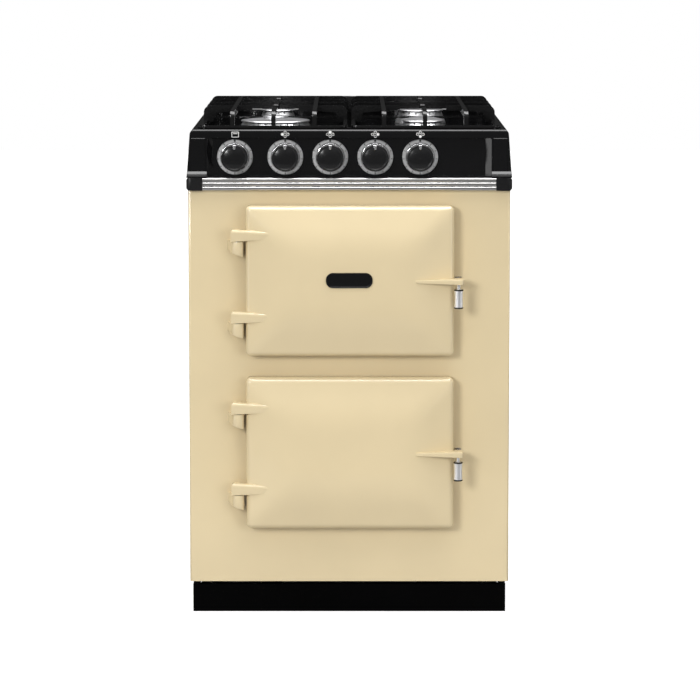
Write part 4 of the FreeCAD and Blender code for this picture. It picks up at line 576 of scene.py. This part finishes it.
# Hinge lugs: their places from the door's middle, and their sizes from the pin's axis
LUG_LEVELS = (0.071, -0.081)
LUG_CLEARANCE = 0.0004
LUG_LEFT, LUG_REACH, LUG_FRONT, LUG_BACK = 0.0125, 0.058, 0.0135, 0.0108
LUG_NOSE = 0.05
LUG_NOSE_FORWARD, LUG_NOSE_LIFT, LUG_NOSE_DROP = 0.0080, 0.005, 0.0030
LUG_UNDERCUT = 0.0035
LUG_CORNER, LUG_TOP_ROUND, LUG_FOOT_ROUND = LUG_BACK * 0.72, 0.0070, 0.0022
LUG_TOP_SLOPE, LUG_TOP_BAND, LUG_FOOT_BAND = 0.012, 0.004, 1e-4

# Handle fins: their sizes from the door's free end and foremost point
FIN_REACH, FIN_DEPTH, FIN_SETBACK, FIN_BELOW = 0.088, 0.034, 0.0005, 0.0015
FIN_TAIL = 0.05
FIN_TAIL_BACK, FIN_TAIL_LIFT, FIN_TAIL_DROP = 0.0035, 0.0030, 0.0012
FIN_END_ROUND, FIN_EDGE_ROUND = 0.0062, 0.0022
FIN_FRONT_BAND, FIN_REAR_BAND = 0.01, 0.003


class COOKER_OT_doors(bpy.types.Operator):
    """Models the two crowned door castings with their hinge lugs and handle fins"""

    bl_idname = "cooker.doors"
    bl_label = "Doors"

    def cushion(self, door):
        """The crowned door itself: a grid drawn tight along its edges, raised to a low hipped crown."""
        sizes = settings("sizes")
        above, below = DOOR_LAP[door]
        middle = DOOR_MIDDLE[door] + (above - below) / 2
        across = DOOR_HINGE_GAP / 2
        back = box_of(door + "_door")[1].y
        half_w, half_h = sizes.door_width / 2 - across, (sizes.door_height + above + below) / 2
        r = sizes.door_corner
        front = back - sizes.door_rim
        clear_selection()
        bpy.ops.mesh.primitive_grid_add(x_subdivisions=CUSHION_GRID[0], y_subdivisions=CUSHION_GRID[1], size=2)
        piece = bpy.context.object
        for point in piece.data.vertices:
            x = half_w * math.sin(point.co.x * math.pi / 2)
            z = half_h * math.sin(point.co.y * math.pi / 2)
            u, v = abs(x) - (half_w - r), abs(z) - (half_h - r)
            from_edge = min(half_w - abs(x), half_h - abs(z))
            if u > 0 and v > 0:
                pull = max(u, v) / math.hypot(u, v)
                x = math.copysign(half_w - r + u * pull, x)
                z = math.copysign(half_h - r + v * pull, z)
                from_edge = r - max(u, v)
            rise = self.crown(soft_least(half_w - abs(x), half_h - abs(z), sizes.hip_round), sizes)
            over = max(0.0, sizes.door_edge - from_edge)
            fall = sizes.door_edge - math.sqrt(max(0.0, sizes.door_edge ** 2 - over ** 2))
            point.co = (x + across, front + fall - rise, middle + z)
        pick(piece, "VERT", lambda p: False)
        bpy.ops.mesh.select_non_manifold()
        for step in (sizes.door_rim - sizes.door_edge - BACK_CHAMFER, BACK_CHAMFER):
            bpy.ops.mesh.extrude_region_move(TRANSFORM_OT_translate={"value": (0, step, 0)})
        bpy.ops.transform.resize(value=BACK_TAPER, center_override=(across, back, middle))
        bpy.ops.mesh.edge_face_add()
        leave_edit()
        return piece

    def crown(self, reach, sizes):
        """How far the cushion stands out at a distance from the door's edge."""
        sloped = soft_least(max(0.0, reach), sizes.crown_reach, sizes.crown_blend)
        return sizes.door_crown * max(0.0, sloped) / sizes.crown_reach

    def hinge_lug(self, door, level):
        """A lug that wraps the hinge pin and runs out into the door's face."""
        pins_low, pins_high = box_of("hinge_pins")
        axis_x, axis_y = (pins_low.x + pins_high.x) / 2, (pins_low.y + pins_high.y) / 2
        low = level + LUG_CLEARANCE
        high = low + settings("sizes").lug_height
        middle = (low + high) / 2
        nose = axis_x + LUG_NOSE
        piece = new_block(
            door + "_lug",
            (axis_x - LUG_LEFT, axis_y - LUG_FRONT, low),
            (axis_x + LUG_REACH, axis_y + LUG_BACK, high),
        )
        move_points(piece, lambda p: p.x > nose and p.y < axis_y, (0, -LUG_NOSE_FORWARD, 0))
        move_points(piece, lambda p: p.y < axis_y and p.z < middle, (0, LUG_UNDERCUT, 0))
        move_points(piece, lambda p: p.x > nose and p.z < middle, (0, 0, LUG_NOSE_LIFT))
        move_points(piece, lambda p: p.x > nose and p.z > middle, (0, 0, -LUG_NOSE_DROP))

        def at_top(a, b):
            return abs(a.z - b.z) < LUG_TOP_SLOPE and max(a.z, b.z) > high - LUG_TOP_BAND

        def at_foot(a, b):
            return max(abs(a.z - low), abs(b.z - low)) < LUG_FOOT_BAND and min(a.y, b.y) < axis_y

        bevel_edges(piece, lambda a, b: lies_along(a, b, Z) and a.x < axis_x, LUG_CORNER, 8)
        bevel_edges(piece, at_top, LUG_TOP_ROUND, 5)
        bevel_edges(piece, at_foot, LUG_FOOT_ROUND, 3)
        shade(piece, 50)
        return piece

    def handle_fin(self, door):
        """The fin at the door's free edge, thick at its end and thinning into the crown."""
        middle = DOOR_MIDDLE[door] - FIN_BELOW
        low_corner, high_corner = box_of(door + "_door")
        end = high_corner.x
        tail = end - FIN_TAIL
        front = low_corner.y + FIN_SETBACK
        rear = front + FIN_DEPTH
        half = settings("sizes").fin_height / 2
        piece = new_block(door + "_fin", (end - FIN_REACH, front, middle - half), (end, rear, middle + half))
        move_points(piece, lambda p: p.x < tail and p.y < front + FIN_FRONT_BAND, (0, FIN_TAIL_BACK, 0))
        move_points(piece, lambda p: p.x < tail and p.z < middle, (0, 0, FIN_TAIL_LIFT))
        move_points(piece, lambda p: p.x < tail and p.z > middle, (0, 0, -FIN_TAIL_DROP))

        def along_fin(a, b):
            return min(a.y, b.y) < rear - FIN_REAR_BAND and not lies_along(a, b, Z)

        bevel_edges(piece, lambda a, b: lies_along(a, b, Z) and a.x > end - FIN_FRONT_BAND, FIN_END_ROUND, 5)
        bevel_edges(piece, along_fin, FIN_EDGE_ROUND, 3)
        shade(piece, 50)
        return piece

    def execute(self, context):
        for door in DOORS:
            cushion = self.cushion(door)
            shade(cushion, 60)
            parts = [cushion, self.handle_fin(door)]
            parts += [self.hinge_lug(door, DOOR_MIDDLE[door] + level) for level in LUG_LEVELS]
            piece = joined(door + "_door_casting", parts)
            handed_in(piece, door + "_door_body", "cream_enamel", replaced=(door + "_door",))
        return {"FINISHED"}


# Grips and badge

# Dark rings at the top and bottom of each plated grip: painted dark reflection, standing in for what the chrome
# reflects at its ends
REFLECTION_RING_HEIGHTS = (0.0018, 0.0345)
REFLECTION_RING_RADIUS, REFLECTION_RING_SECTION = 0.0072, 0.0016
BADGE_END_SHARE = 0.46
BADGE_BORDER, BADGE_SLOPE, BADGE_SINK = 0.0020, 0.0006, 0.0010
BADGE_EDGE, BADGE_FRONT_BAND = 0.0004, 1e-5


class COOKER_OT_grips(bpy.types.Operator):
    """Adds dark rings at the ends of the plated grips, a painted dark reflection of the chrome's ends, and the plain
    badge plate of the upper door
    """

    bl_idname = "cooker.grips"
    bl_label = "Grips and badge"

    def execute(self, context):
        for door in DOORS:
            low, high = box_of(door + "_door_handle")
            centre = (low + high) / 2
            reflection_rings = []
            # Each ring is a painted dark reflection at one end of the grip
            for height in REFLECTION_RING_HEIGHTS:
                place = (centre.x, centre.y, low.z + height)
                reflection_rings.append(new_ring(door + "_painted_reflection_ring", place, REFLECTION_RING_RADIUS, REFLECTION_RING_SECTION, 36, 10, along="Z"))
            piece = joined(door + "_grip_painted_reflection_rings", reflection_rings)
            shade(piece, 60)
            handed_in(piece, door + "_door_body", "knob_black")
        self.badge()
        return {"FINISHED"}

    def badge(self):
        """A plain pill-shaped plate with a raised border."""
        low, high = box_of("badge_plate")
        face = new_block("badge_face", low, high)
        bevel_edges(face, lambda a, b: lies_along(a, b, Y), (high.z - low.z) * BADGE_END_SHARE, 12)
        pick(face, "FACE", lambda f: f.normal.y < -0.9)
        bpy.ops.mesh.inset(thickness=BADGE_BORDER, depth=0.0)
        bpy.ops.mesh.inset(thickness=BADGE_SLOPE, depth=-BADGE_SINK)
        leave_edit()
        bevel_edges(face, lambda a, b: max(abs(a.y - low.y), abs(b.y - low.y)) < BADGE_FRONT_BAND, BADGE_EDGE, 2)
        shade(face, 35)
        handed_in(face, "upper_door_body", "black_enamel", replaced=("badge_plate",))


# Controls

# Graduations: where they start and how far they run, in degrees, and each kind's inner radius and width
DIAL_START, DIAL_SWEEP = 40, 280
LONG_EVERY = 5
MARK_LONG, MARK_SHORT = (0.0280, 0.0013), (0.0292, 0.0009)
MARK_OUTER, MARK_CORNER_SHARE = 0.0324, 0.3
MARK_LIFT, MARK_PROUD, MARK_SUNK = 0.00008, 0.0001, 0.0004
DOT_FROM_CENTRE, DOT_RADIUS, DOT_THICK, DOT_SUNK, DOT_EDGE = 0.0302, 0.0020, 0.0005, 0.00015, 0.0001

# Knob pointers: the skirt ring, and the tab from the knob's centre and front
SKIRT_RADIUS, SKIRT_SECTION, SKIRT_FROM_BACK = 0.0246, 0.0012, 0.0022
TAB_HALF, TAB_TAPER = 0.0030, 0.0013
TAB_FRONT, TAB_BACK, TAB_FRONT_BAND = 0.0002, 0.0030, 0.001
TAB_CORNER, TAB_EDGE = 0.0009, 0.0005
TAB_LOW, TAB_NARROW_BELOW, TAB_HIGH = 0.0158, 0.018, 0.0238

# Printed symbols on the hob's front band
BAND_FORWARD, BAND_ROUND = 0.0115, 0.005
PRINT_START, PRINT_GAP, PRINT_LIFT = 0.0016, 0.0002, 0.00015
SYMBOL_ASIDE, SYMBOL_APART, SYMBOL_MIDDLE = 0.0050, 0.0038, 0.0068
FILLED_RADIUS, FILLED_THICK = 0.0027, 0.0002
OPEN_RADIUS, OPEN_SECTION = 0.0022, 0.0005
SYMBOL_CORNERS = {"front_left": (-1, 0), "rear_left": (0, 1), "rear_right": (1, 0), "front_right": (0, -1)}
OVEN_HALF, OVEN_LOW, OVEN_HIGH, OVEN_LINE, OVEN_THICK = 0.0068, 0.0012, 0.0115, 0.0011, 0.0002
OVEN_ASIDE = 0.0012
OVEN_BAR_SHARE, OVEN_BAR_AT = 0.6, 0.66

# Cheek feet, from the hob surround's lowest and foremost points
FOOT_INNER, FOOT_FROM_END = 0.2637, 0.0004
FOOT_SILL, FOOT_HEIGHT, FOOT_PROUD, FOOT_DEPTH = 0.0024, 0.0088, 0.0002, 0.0078
FOOT_LEAN, FOOT_UNDERCUT, FOOT_EDGE = 0.0075, 0.0045, 0.0004
FOOT_FRONT_BAND, FOOT_REAR_BAND, FOOT_MIDDLE = 0.002, 0.005, 0.004


class COOKER_OT_dials(bpy.types.Operator):
    """Adds the cheeks' feet, the dials' graduations, the knobs' bright pointers and the printed symbols"""

    bl_idname = "cooker.dials"
    bl_label = "Dials"

    def marks(self, name):
        """Ink graduations round one bezel, with a dot at the top."""
        centre = KNOB_CENTRE[name]
        face = BEZEL_FRONT_Y - MARK_LIFT
        count = settings("sizes").dial_marks
        pieces = []
        for i in range(count):
            inner, width = MARK_SHORT if i % LONG_EVERY else MARK_LONG
            bar = new_block(
                name + "_mark",
                (-width / 2, face - MARK_PROUD, inner),
                (width / 2, face + MARK_SUNK, MARK_OUTER),
            )
            bevel_edges(bar, lambda a, b: lies_along(a, b, Y), width * MARK_CORNER_SHARE, 1)
            pick(bar, "VERT", lambda p: True)
            angle = math.radians(DIAL_START + DIAL_SWEEP * i / (count - 1))
            bpy.ops.transform.rotate(value=angle, orient_axis="Y", center_override=(0, 0, 0))
            leave_edit()
            pieces.append(bar)
        dot = new_disc(name + "_off", (0, face + DOT_SUNK, DOT_FROM_CENTRE), DOT_RADIUS, DOT_THICK, 20)
        bevel_edges(dot, lambda a, b: abs(a.y - b.y) < LEVEL and a.y < face, DOT_EDGE, 1)
        pieces.append(dot)
        piece = joined(name + "_dial_marks", pieces)
        piece.location = (centre.x, 0, centre.z)
        settle(piece)
        shade(piece)
        handed_in(piece, "cabinet", "knob_black", "dial_ink")

    def pointer(self, name):
        """A bright tab and skirt ring that turn with the knob."""
        centre = KNOB_CENTRE[name]
        low, high = box_of(name + "_knob")
        skirt = (centre.x, high.y - SKIRT_FROM_BACK, centre.z)
        ring = new_ring(name + "_skirt", skirt, SKIRT_RADIUS, SKIRT_SECTION, 72, 10)
        tab = new_block(
            name + "_tab",
            (centre.x - TAB_HALF, low.y + TAB_FRONT, centre.z + TAB_LOW),
            (centre.x + TAB_HALF, low.y + TAB_BACK, centre.z + TAB_HIGH),
        )
        narrow = centre.z + TAB_NARROW_BELOW
        move_points(tab, lambda p: p.z < narrow and p.x > centre.x, (-TAB_TAPER, 0, 0))
        move_points(tab, lambda p: p.z < narrow and p.x < centre.x, (TAB_TAPER, 0, 0))
        bevel_edges(tab, lambda a, b: lies_along(a, b, Y), TAB_CORNER, 3)
        front = low.y + TAB_FRONT_BAND
        bevel_edges(tab, lambda a, b: abs(a.y - b.y) < LEVEL and a.y < front, TAB_EDGE, 2)
        piece = joined(name + "_knob_pointer", [ring, tab])
        shade(piece, 45)
        handed_in(piece, name + "_knob_body", "plated")

    def wrapped(self, piece, x):
        """Lays a flat symbol, drawn upright at the origin, over the hob's front band and its round top edge."""
        top = box_of("hob_surround")[1].z
        front = FASCIA_FACE_Y + PRINT_GAP - BAND_FORWARD
        r = BAND_ROUND
        start = FASCIA_TOP - PRINT_START
        straight = top - r - start
        for point in piece.data.vertices:
            along, out = point.co.z, PRINT_LIFT - point.co.y
            over = max(0.0, along - straight) / r
            foot = front + r * (1 - math.cos(over)), start + min(along, straight) + r * math.sin(over)
            point.co = (x + point.co.x, foot[0] - out * math.cos(over), foot[1] + out * math.sin(over))

    def printed(self, name, pieces, x):
        """A white symbol on the cabinet out of flat pieces."""
        piece = joined(name + "_symbol", pieces)
        self.wrapped(piece, x)
        shade(piece)
        handed_in(piece, "cabinet", "white_ceramic", "white_print")

    def burner_symbol(self, name):
        """Four small rings in a diamond with one of them filled, for the burner a knob feeds."""
        pieces = []
        for key, (sx, sz) in SYMBOL_CORNERS.items():
            place = (sx * SYMBOL_ASIDE, 0, SYMBOL_MIDDLE + sz * SYMBOL_APART)
            if key == name:
                pieces.append(new_disc(name + "_filled", place, FILLED_RADIUS, FILLED_THICK, 24))
            else:
                pieces.append(new_ring(name + "_open", place, OPEN_RADIUS, OPEN_SECTION, 24, 6))
        self.printed(name, pieces, KNOB_CENTRE[name].x)

    def oven_symbol(self):
        """A rectangle with a bar across its upper part, for the oven."""
        half, low, high, line = OVEN_HALF, OVEN_LOW, OVEN_HIGH, OVEN_LINE
        bar_half, bar_low = half * OVEN_BAR_SHARE, high * OVEN_BAR_AT
        spans = [
            (-half, low, half, low + line),
            (-half, high - line, half, high),
            (-half, low, -half + line, high),
            (half - line, low, half, high),
            (-bar_half, bar_low, bar_half, bar_low + line),
        ]
        pieces = []
        for x0, z0, x1, z1 in spans:
            bar = new_block("oven_line", (x0, -OVEN_THICK, z0), (x1, OVEN_THICK, z1))
            pick(bar, "FACE", lambda f: True)
            bpy.ops.mesh.subdivide(number_cuts=4)
            leave_edit()
            pieces.append(bar)
        self.printed("oven", pieces, KNOB_CENTRE["oven"].x + OVEN_ASIDE)

    def cheek_feet(self):
        """The steep bright facet at the foot of each cheek."""
        low, high = box_of("hob_surround")
        sill = low.z + FOOT_SILL
        middle = sill + FOOT_MIDDLE
        front, rear = low.y + FOOT_FRONT_BAND, low.y + FOOT_REAR_BAND
        feet = []
        for side in (-1, 1):
            near, far = sorted((side * FOOT_INNER, side * (high.x - FOOT_FROM_END)))
            foot = new_block(
                "cheek_foot", (near, low.y - FOOT_PROUD, sill), (far, low.y + FOOT_DEPTH, sill + FOOT_HEIGHT)
            )
            move_points(foot, lambda p: p.y < front and p.z > middle, (0, FOOT_LEAN, 0))
            move_points(foot, lambda p: p.y > rear and p.z < middle, (0, 0, FOOT_UNDERCUT))
            bevel_edges(foot, lambda a, b: lies_along(a, b, X) and max(a.y, b.y) < front, FOOT_EDGE, 2)
            feet.append(foot)
        piece = joined("cheek_feet", feet)
        shade(piece, 30)
        handed_in(piece, "cabinet", "black_enamel")

    def execute(self, context):
        self.cheek_feet()
        for name in KNOBS:
            self.marks(name)
            self.pointer(name)
        for name in BURNERS:
            self.burner_symbol(name)
        self.oven_symbol()
        return {"FINISHED"}


# Pan supports

# The half lap: each side's front and rear face, from the support's back
HEEL_FACES = {"left": (0.0039, 0.0001), "right": (0.0079, 0.0043)}
HEEL_PAST_MIDDLE, HEEL_REACH = 0.0024, 0.0136
HEEL_FROM_FOOT, HEEL_FROM_TOP, HEEL_ROUND = 0.0003, 0.0001, 0.0010
HEEL_TOP_BAND = 0.001


class COOKER_OT_supports(bpy.types.Operator):
    """Closes the view between the pan supports with a half lap at their rear bars"""

    bl_idname = "cooker.supports"
    bl_label = "Pan supports"

    def execute(self, context):
        for side, sign in (("left", -1), ("right", 1)):
            front, rear = HEEL_FACES[side]
            low, high = box_of(side + "_pan_support")
            near, far = sorted((-sign * HEEL_PAST_MIDDLE, sign * HEEL_REACH))
            heel = new_block(
                side + "_support_heel",
                (near, high.y - front, low.z + HEEL_FROM_FOOT),
                (far, high.y - rear, high.z - HEEL_FROM_TOP),
            )
            top = high.z - HEEL_TOP_BAND
            bevel_edges(heel, lambda a, b: lies_along(a, b, X) and min(a.z, b.z) > top, HEEL_ROUND, 3)
            shade(heel)
            handed_in(heel, side + "_pan_support_body", "cast_black")
        return {"FINISHED"}


# Finishes of the kept solids

FINISHED_NODES = {
    "cream_enamel": ("front_plate",),
    "side_paint": ("left_side_panel", "right_side_panel"),
    "galvanised": ("back_panel", "base_tray", "levelling_feet", "oven_thermostat", "panel_screws"),
    "plinth_black": ("plinth",),
    "oven_enamel": ("upper_oven_liner", "lower_oven_liner"),
    "wool": ("oven_insulation", "upper_door_insulation", "lower_door_insulation"),
    "plated": ("shelf_runners", "oven_shelves"),
    "steel_pin": (
        *("oven_elements", "flame_probes", "hinge_pins", "door_catches", "oven_knob_spindle"),
        *(burner + "_spindle" for burner in BURNERS),
    ),
    "black_enamel": ("hob_deck", "hob_surround", "control_fascia", "spill_tray"),
    "bright_trim": ("front_trim", "gas_manifold", "burner_feed_pipes"),
    "cap_black": ("trim_end_caps", "terminal_cover"),
    "burner_alloy": ("burner_bases",),
    "burner_cap_alloy": ("burner_caps",),
    "white_ceramic": ("spark_electrodes",),
    "bezel_metal": ("knob_bezels",),
    "brass_fitting": ("gas_taps", "gas_inlet", *(burner + "_push_rod" for burner in BURNERS)),
    "cast_black": ("left_pan_support", "right_pan_support"),
    "knob_black": tuple(name + "_knob" for name in KNOBS),
    "liner_steel": tuple(door + "_door_liner" for door in DOORS),
    "seal_rope": tuple(door + "_door_seal" for door in DOORS),
    "grip_metal": tuple(door + "_door_handle" for door in DOORS),
}

WELD_WITHIN = 0.00001
CAST_ANGLE = 35
# Other solids with rounded edges: the width of the round, and the least angle in degrees that is rounded
EDGE_ROUNDS = {
    "front_plate": (0.0016, 40),
    "hob_surround": (0.0007, 25),
    "control_fascia": (0.0007, 25),
    "trim_end_caps": (0.0007, 25),
}


class COOKER_OT_finishes(bpy.types.Operator):
    """Gives every kept solid its finish, and the castings their rounded edges"""

    bl_idname = "cooker.finishes"
    bl_label = "Finishes"

    def soften(self, node, width, degrees):
        """Welds a solid's triangles and rounds its hard edges as it is drawn."""
        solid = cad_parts[node]
        weld = solid.modifiers.new("Weld", "WELD")
        weld.merge_threshold = WELD_WITHIN
        bevel = solid.modifiers.new("Bevel", "BEVEL")
        bevel.width = width
        bevel.segments = 2
        bevel.limit_method = "ANGLE"
        bevel.angle_limit = math.radians(degrees)
        bevel.harden_normals = True

    def execute(self, context):
        for finish, nodes in FINISHED_NODES.items():
            material = finish_of(finish)
            for node in nodes:
                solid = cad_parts[node]
                if not solid.material_slots:
                    solid.data.materials.append(material)
                for slot in solid.material_slots:
                    slot.material = material
        for node in FINISHED_NODES["cast_black"]:
            self.soften(node, settings("sizes").cast_round, CAST_ANGLE)
        for node, (width, degrees) in EDGE_ROUNDS.items():
            self.soften(node, width, degrees)
        return {"FINISHED"}


# Stage

# Name, place, aim, size, share of the key light's power, whether it lights surfaces, whether it shows in reflections
LAMPS = (
    ("key", (-1.8, -4.0, 1.75), (0, -0.27, 0.5), (1.1, 1.1), 1.0, True, False),
    ("key_card", (-2.6, -3.4, 2.3), (0, -0.27, 0.5), (0.8, 0.8), 1.1, False, True),
    ("fill", (2.2, -3.8, 0.9), (0, -0.27, 0.4), (1.8, 1.8), 0.42, True, False),
    ("top_box", (0, -0.2, 2.4), (0, -0.2, 0), (2.4, 0.6), 0.27, True, True),
    ("edge_strip", (0, -0.62, 2.4), (0, -0.62, 0), (2.4, 0.5), 0.52, False, True),
    ("rear_strip", (0, 0.2, 2.4), (0, 0.2, 0), (2.4, 0.6), 0.35, False, True),
    ("side_card", (-3.0, -1.2, 0.9), (0, -0.27, 0.6), (0.5, 1.6), 0.1, False, True),
    ("side_card", (3.0, -1.2, 0.9), (0, -0.27, 0.6), (0.5, 1.6), 0.1, False, True),
)
SUN_HEIGHT, SUN_TURN, SUN_SPREAD = 3, math.radians(14), math.radians(50)

# How the room's light runs from its low to its high part, and from its front to its back
CEILING = (0.15, 0.85, 0.22, 0.80)
BEHIND = (-0.2, 0.6, 1.0, 0.14)

FLOOR_SIZE, FLOOR_MIDDLE_Y = 14, 5.2
FLOOR_GLOW, FLOOR_TINTS, FLOOR_ROUGH = 0.7, (0.99, 1.01), (0.5, 0.6)
# The floor does not glow under the cooker: half its width, its front and its back
SHADE_HALF, SHADE_FRONT, SHADE_BACK = 0.29, -0.25, 0.31

# The camera stands a little aside, and its distance is from the plate's face, which lies behind its lugs' front
CAMERA_ASIDE, PLATE_FACE_FROM_LUGS = 0.0014, 0.039
SENSOR_WIDTH = 36.0
CAMERA_SHIFT = -0.08
CLIP_END = 100.0


class COOKER_OT_stage(bpy.types.Operator):
    """Adds the pale floor, the studio lights and the camera"""

    bl_idname = "cooker.stage"
    bl_label = "Stage"

    def lamp(self, name, place, target, size, power):
        """An area light aimed at a point."""
        clear_selection()
        bpy.ops.object.light_add(type="AREA", location=place)
        lamp = bpy.context.object
        lamp.name = name
        lamp.rotation_euler = (Vector(target) - Vector(place)).to_track_quat("-Z", "Y").to_euler()
        lamp.data.shape = "RECTANGLE"
        lamp.data.size, lamp.data.size_y = size
        lamp.data.energy = power
        return lamp

    def overhead(self, power):
        """A broad even light from above."""
        clear_selection()
        bpy.ops.object.light_add(type="SUN", location=(0, 0, SUN_HEIGHT), rotation=(SUN_TURN, 0, 0))
        lamp = bpy.context.object
        lamp.name = "overhead"
        lamp.data.energy = power
        lamp.data.angle = SUN_SPREAD

    def sky(self, tree):
        """A pale studio room: white backdrop, bright ceiling and dim walls."""
        place = tree.nodes.new("ShaderNodeTexCoord")
        parts = tree.nodes.new("ShaderNodeSeparateXYZ")
        tree.links.new(place.outputs["Generated"], parts.inputs["Vector"])
        ceiling = ranged(tree, parts.outputs["Z"], *CEILING)
        behind = ranged(tree, parts.outputs["Y"], *BEHIND)
        room = sums(tree, "MULTIPLY", ceiling, behind)
        rays = tree.nodes.new("ShaderNodeLightPath")
        seen = tree.nodes.new("ShaderNodeMix")
        tree.links.new(rays.outputs["Is Camera Ray"], seen.inputs["Factor"])
        for i, strength in zip(MIX_NUMBER_INPUTS, (room, 1.0)):
            put(tree, strength, seen.inputs[i])
        backdrop = tree.nodes["Background"]
        backdrop.inputs["Color"].default_value = (1.0, 1.0, 1.0, 1.0)
        tree.links.new(seen.outputs[MIX_NUMBER_OUTPUT], backdrop.inputs["Strength"])

    def floor_finish(self):
        """A pale floor that looks white to the camera and throws only a share of its light back at the cooker."""
        material, tree, shader = new_material("floor_finish", specular=0.3)
        mottle = placed_group(material, "mottle", cloud_scale=1.5, grain_scale=120.0)
        colour = tuple(settings("colours").floor)
        tint = blended(tree, mottle["Cloud"], *(shaded(colour, factor) for factor in FLOOR_TINTS))
        seen = tree.nodes.new("ShaderNodeLightPath").outputs["Is Camera Ray"]
        bounce = shaded(colour, settings("stage").floor_bounce)
        tree.links.new(blended(tree, seen, bounce, tint), shader.inputs["Base Color"])
        shader.inputs["Emission Color"].default_value = (1.0, 1.0, 1.0, 1.0)
        parts = tree.nodes.new("ShaderNodeSeparateXYZ")
        tree.links.new(coordinates(material), parts.inputs["Vector"])
        aside = sums(tree, "GREATER_THAN", sums(tree, "ABSOLUTE", parts.outputs["X"], 0.0), SHADE_HALF)
        ahead = sums(tree, "LESS_THAN", parts.outputs["Y"], SHADE_FRONT)
        astern = sums(tree, "GREATER_THAN", parts.outputs["Y"], SHADE_BACK)
        outside = sums(tree, "MAXIMUM", aside, sums(tree, "MAXIMUM", ahead, astern))
        glow = sums(tree, "MULTIPLY", sums(tree, "MULTIPLY", seen, FLOOR_GLOW), outside)
        tree.links.new(glow, shader.inputs["Emission Strength"])
        tree.links.new(ranged(tree, mottle["Grain"], 0, 1, *FLOOR_ROUGH), shader.inputs["Roughness"])
        return material

    def floor(self):
        """The studio floor, mostly behind the cooker."""
        clear_selection()
        bpy.ops.mesh.primitive_grid_add(
            x_subdivisions=8, y_subdivisions=8, size=FLOOR_SIZE, location=(0, FLOOR_MIDDLE_Y, 0)
        )
        floor = added("studio_floor")
        floor.data.materials.append(self.floor_finish())

    def camera(self):
        """The camera in front of the cooker, tilted a little down."""
        stage = settings("stage")
        clear_selection()
        bpy.ops.object.camera_add(
            location=(CAMERA_ASIDE, PLATE_FRONT_Y + PLATE_FACE_FROM_LUGS - stage.distance, stage.height),
            rotation=(math.pi / 2 - stage.tilt, 0, 0),
        )
        camera = bpy.context.object
        camera.name = "front_camera"
        camera.data.sensor_width = SENSOR_WIDTH
        camera.data.lens = stage.lens
        camera.data.shift_y = CAMERA_SHIFT
        camera.data.clip_end = CLIP_END
        return camera

    def execute(self, context):
        stage = settings("stage")
        self.floor()
        world = bpy.data.worlds.new("studio")
        world.use_nodes = True
        self.sky(world.node_tree)
        context.scene.world = world
        context.scene.view_settings.view_transform = "Standard"
        for name, place, target, size, share, lights, shows in LAMPS:
            lamp = self.lamp(name, place, target, size, stage.key * share)
            lamp.visible_diffuse = lights
            lamp.visible_glossy = shows
        self.overhead(stage.overhead)
        context.scene.camera = self.camera()
        return {"FINISHED"}


class COOKER_PT_panel(bpy.types.Panel):
    """Lists the cooker's settings and steps"""

    bl_label = "Range cooker"
    bl_idname = "COOKER_PT_panel"
    bl_space_type = "VIEW_3D"
    bl_region_type = "UI"
    bl_category = "Cooker"

    def draw(self, context):
        layout = self.layout
        for group in ("sizes", "colours", "stage"):
            holder = settings(group)
            box = layout.box()
            for key in type(holder).__annotations__:
                box.prop(holder, key)
        for operator in OPERATORS:
            layout.operator(operator.bl_idname)


OPERATORS = (
    COOKER_OT_finishes, COOKER_OT_doors, COOKER_OT_grips, COOKER_OT_dials, COOKER_OT_supports, COOKER_OT_stage
)
GROUP_CLASSES = (("sizes", CookerSizes), ("colours", CookerColours), ("stage", CookerStage))


def register():
    for name, kind in GROUP_CLASSES:
        bpy.utils.register_class(kind)
        setattr(bpy.types.Scene, "cooker_" + name, PointerProperty(type=kind))
    for kind in OPERATORS + (COOKER_PT_panel,):
        bpy.utils.register_class(kind)


def unregister():
    for kind in reversed(OPERATORS + (COOKER_PT_panel,)):
        bpy.utils.unregister_class(kind)
    for name, kind in reversed(GROUP_CLASSES):
        delattr(bpy.types.Scene, "cooker_" + name)
        bpy.utils.unregister_class(kind)


def main():
    register()
    bpy.ops.cooker.finishes()
    bpy.ops.cooker.doors()
    bpy.ops.cooker.grips()
    bpy.ops.cooker.dials()
    bpy.ops.cooker.supports()
    bpy.ops.cooker.stage()


if __name__ == "__main__":
    main()
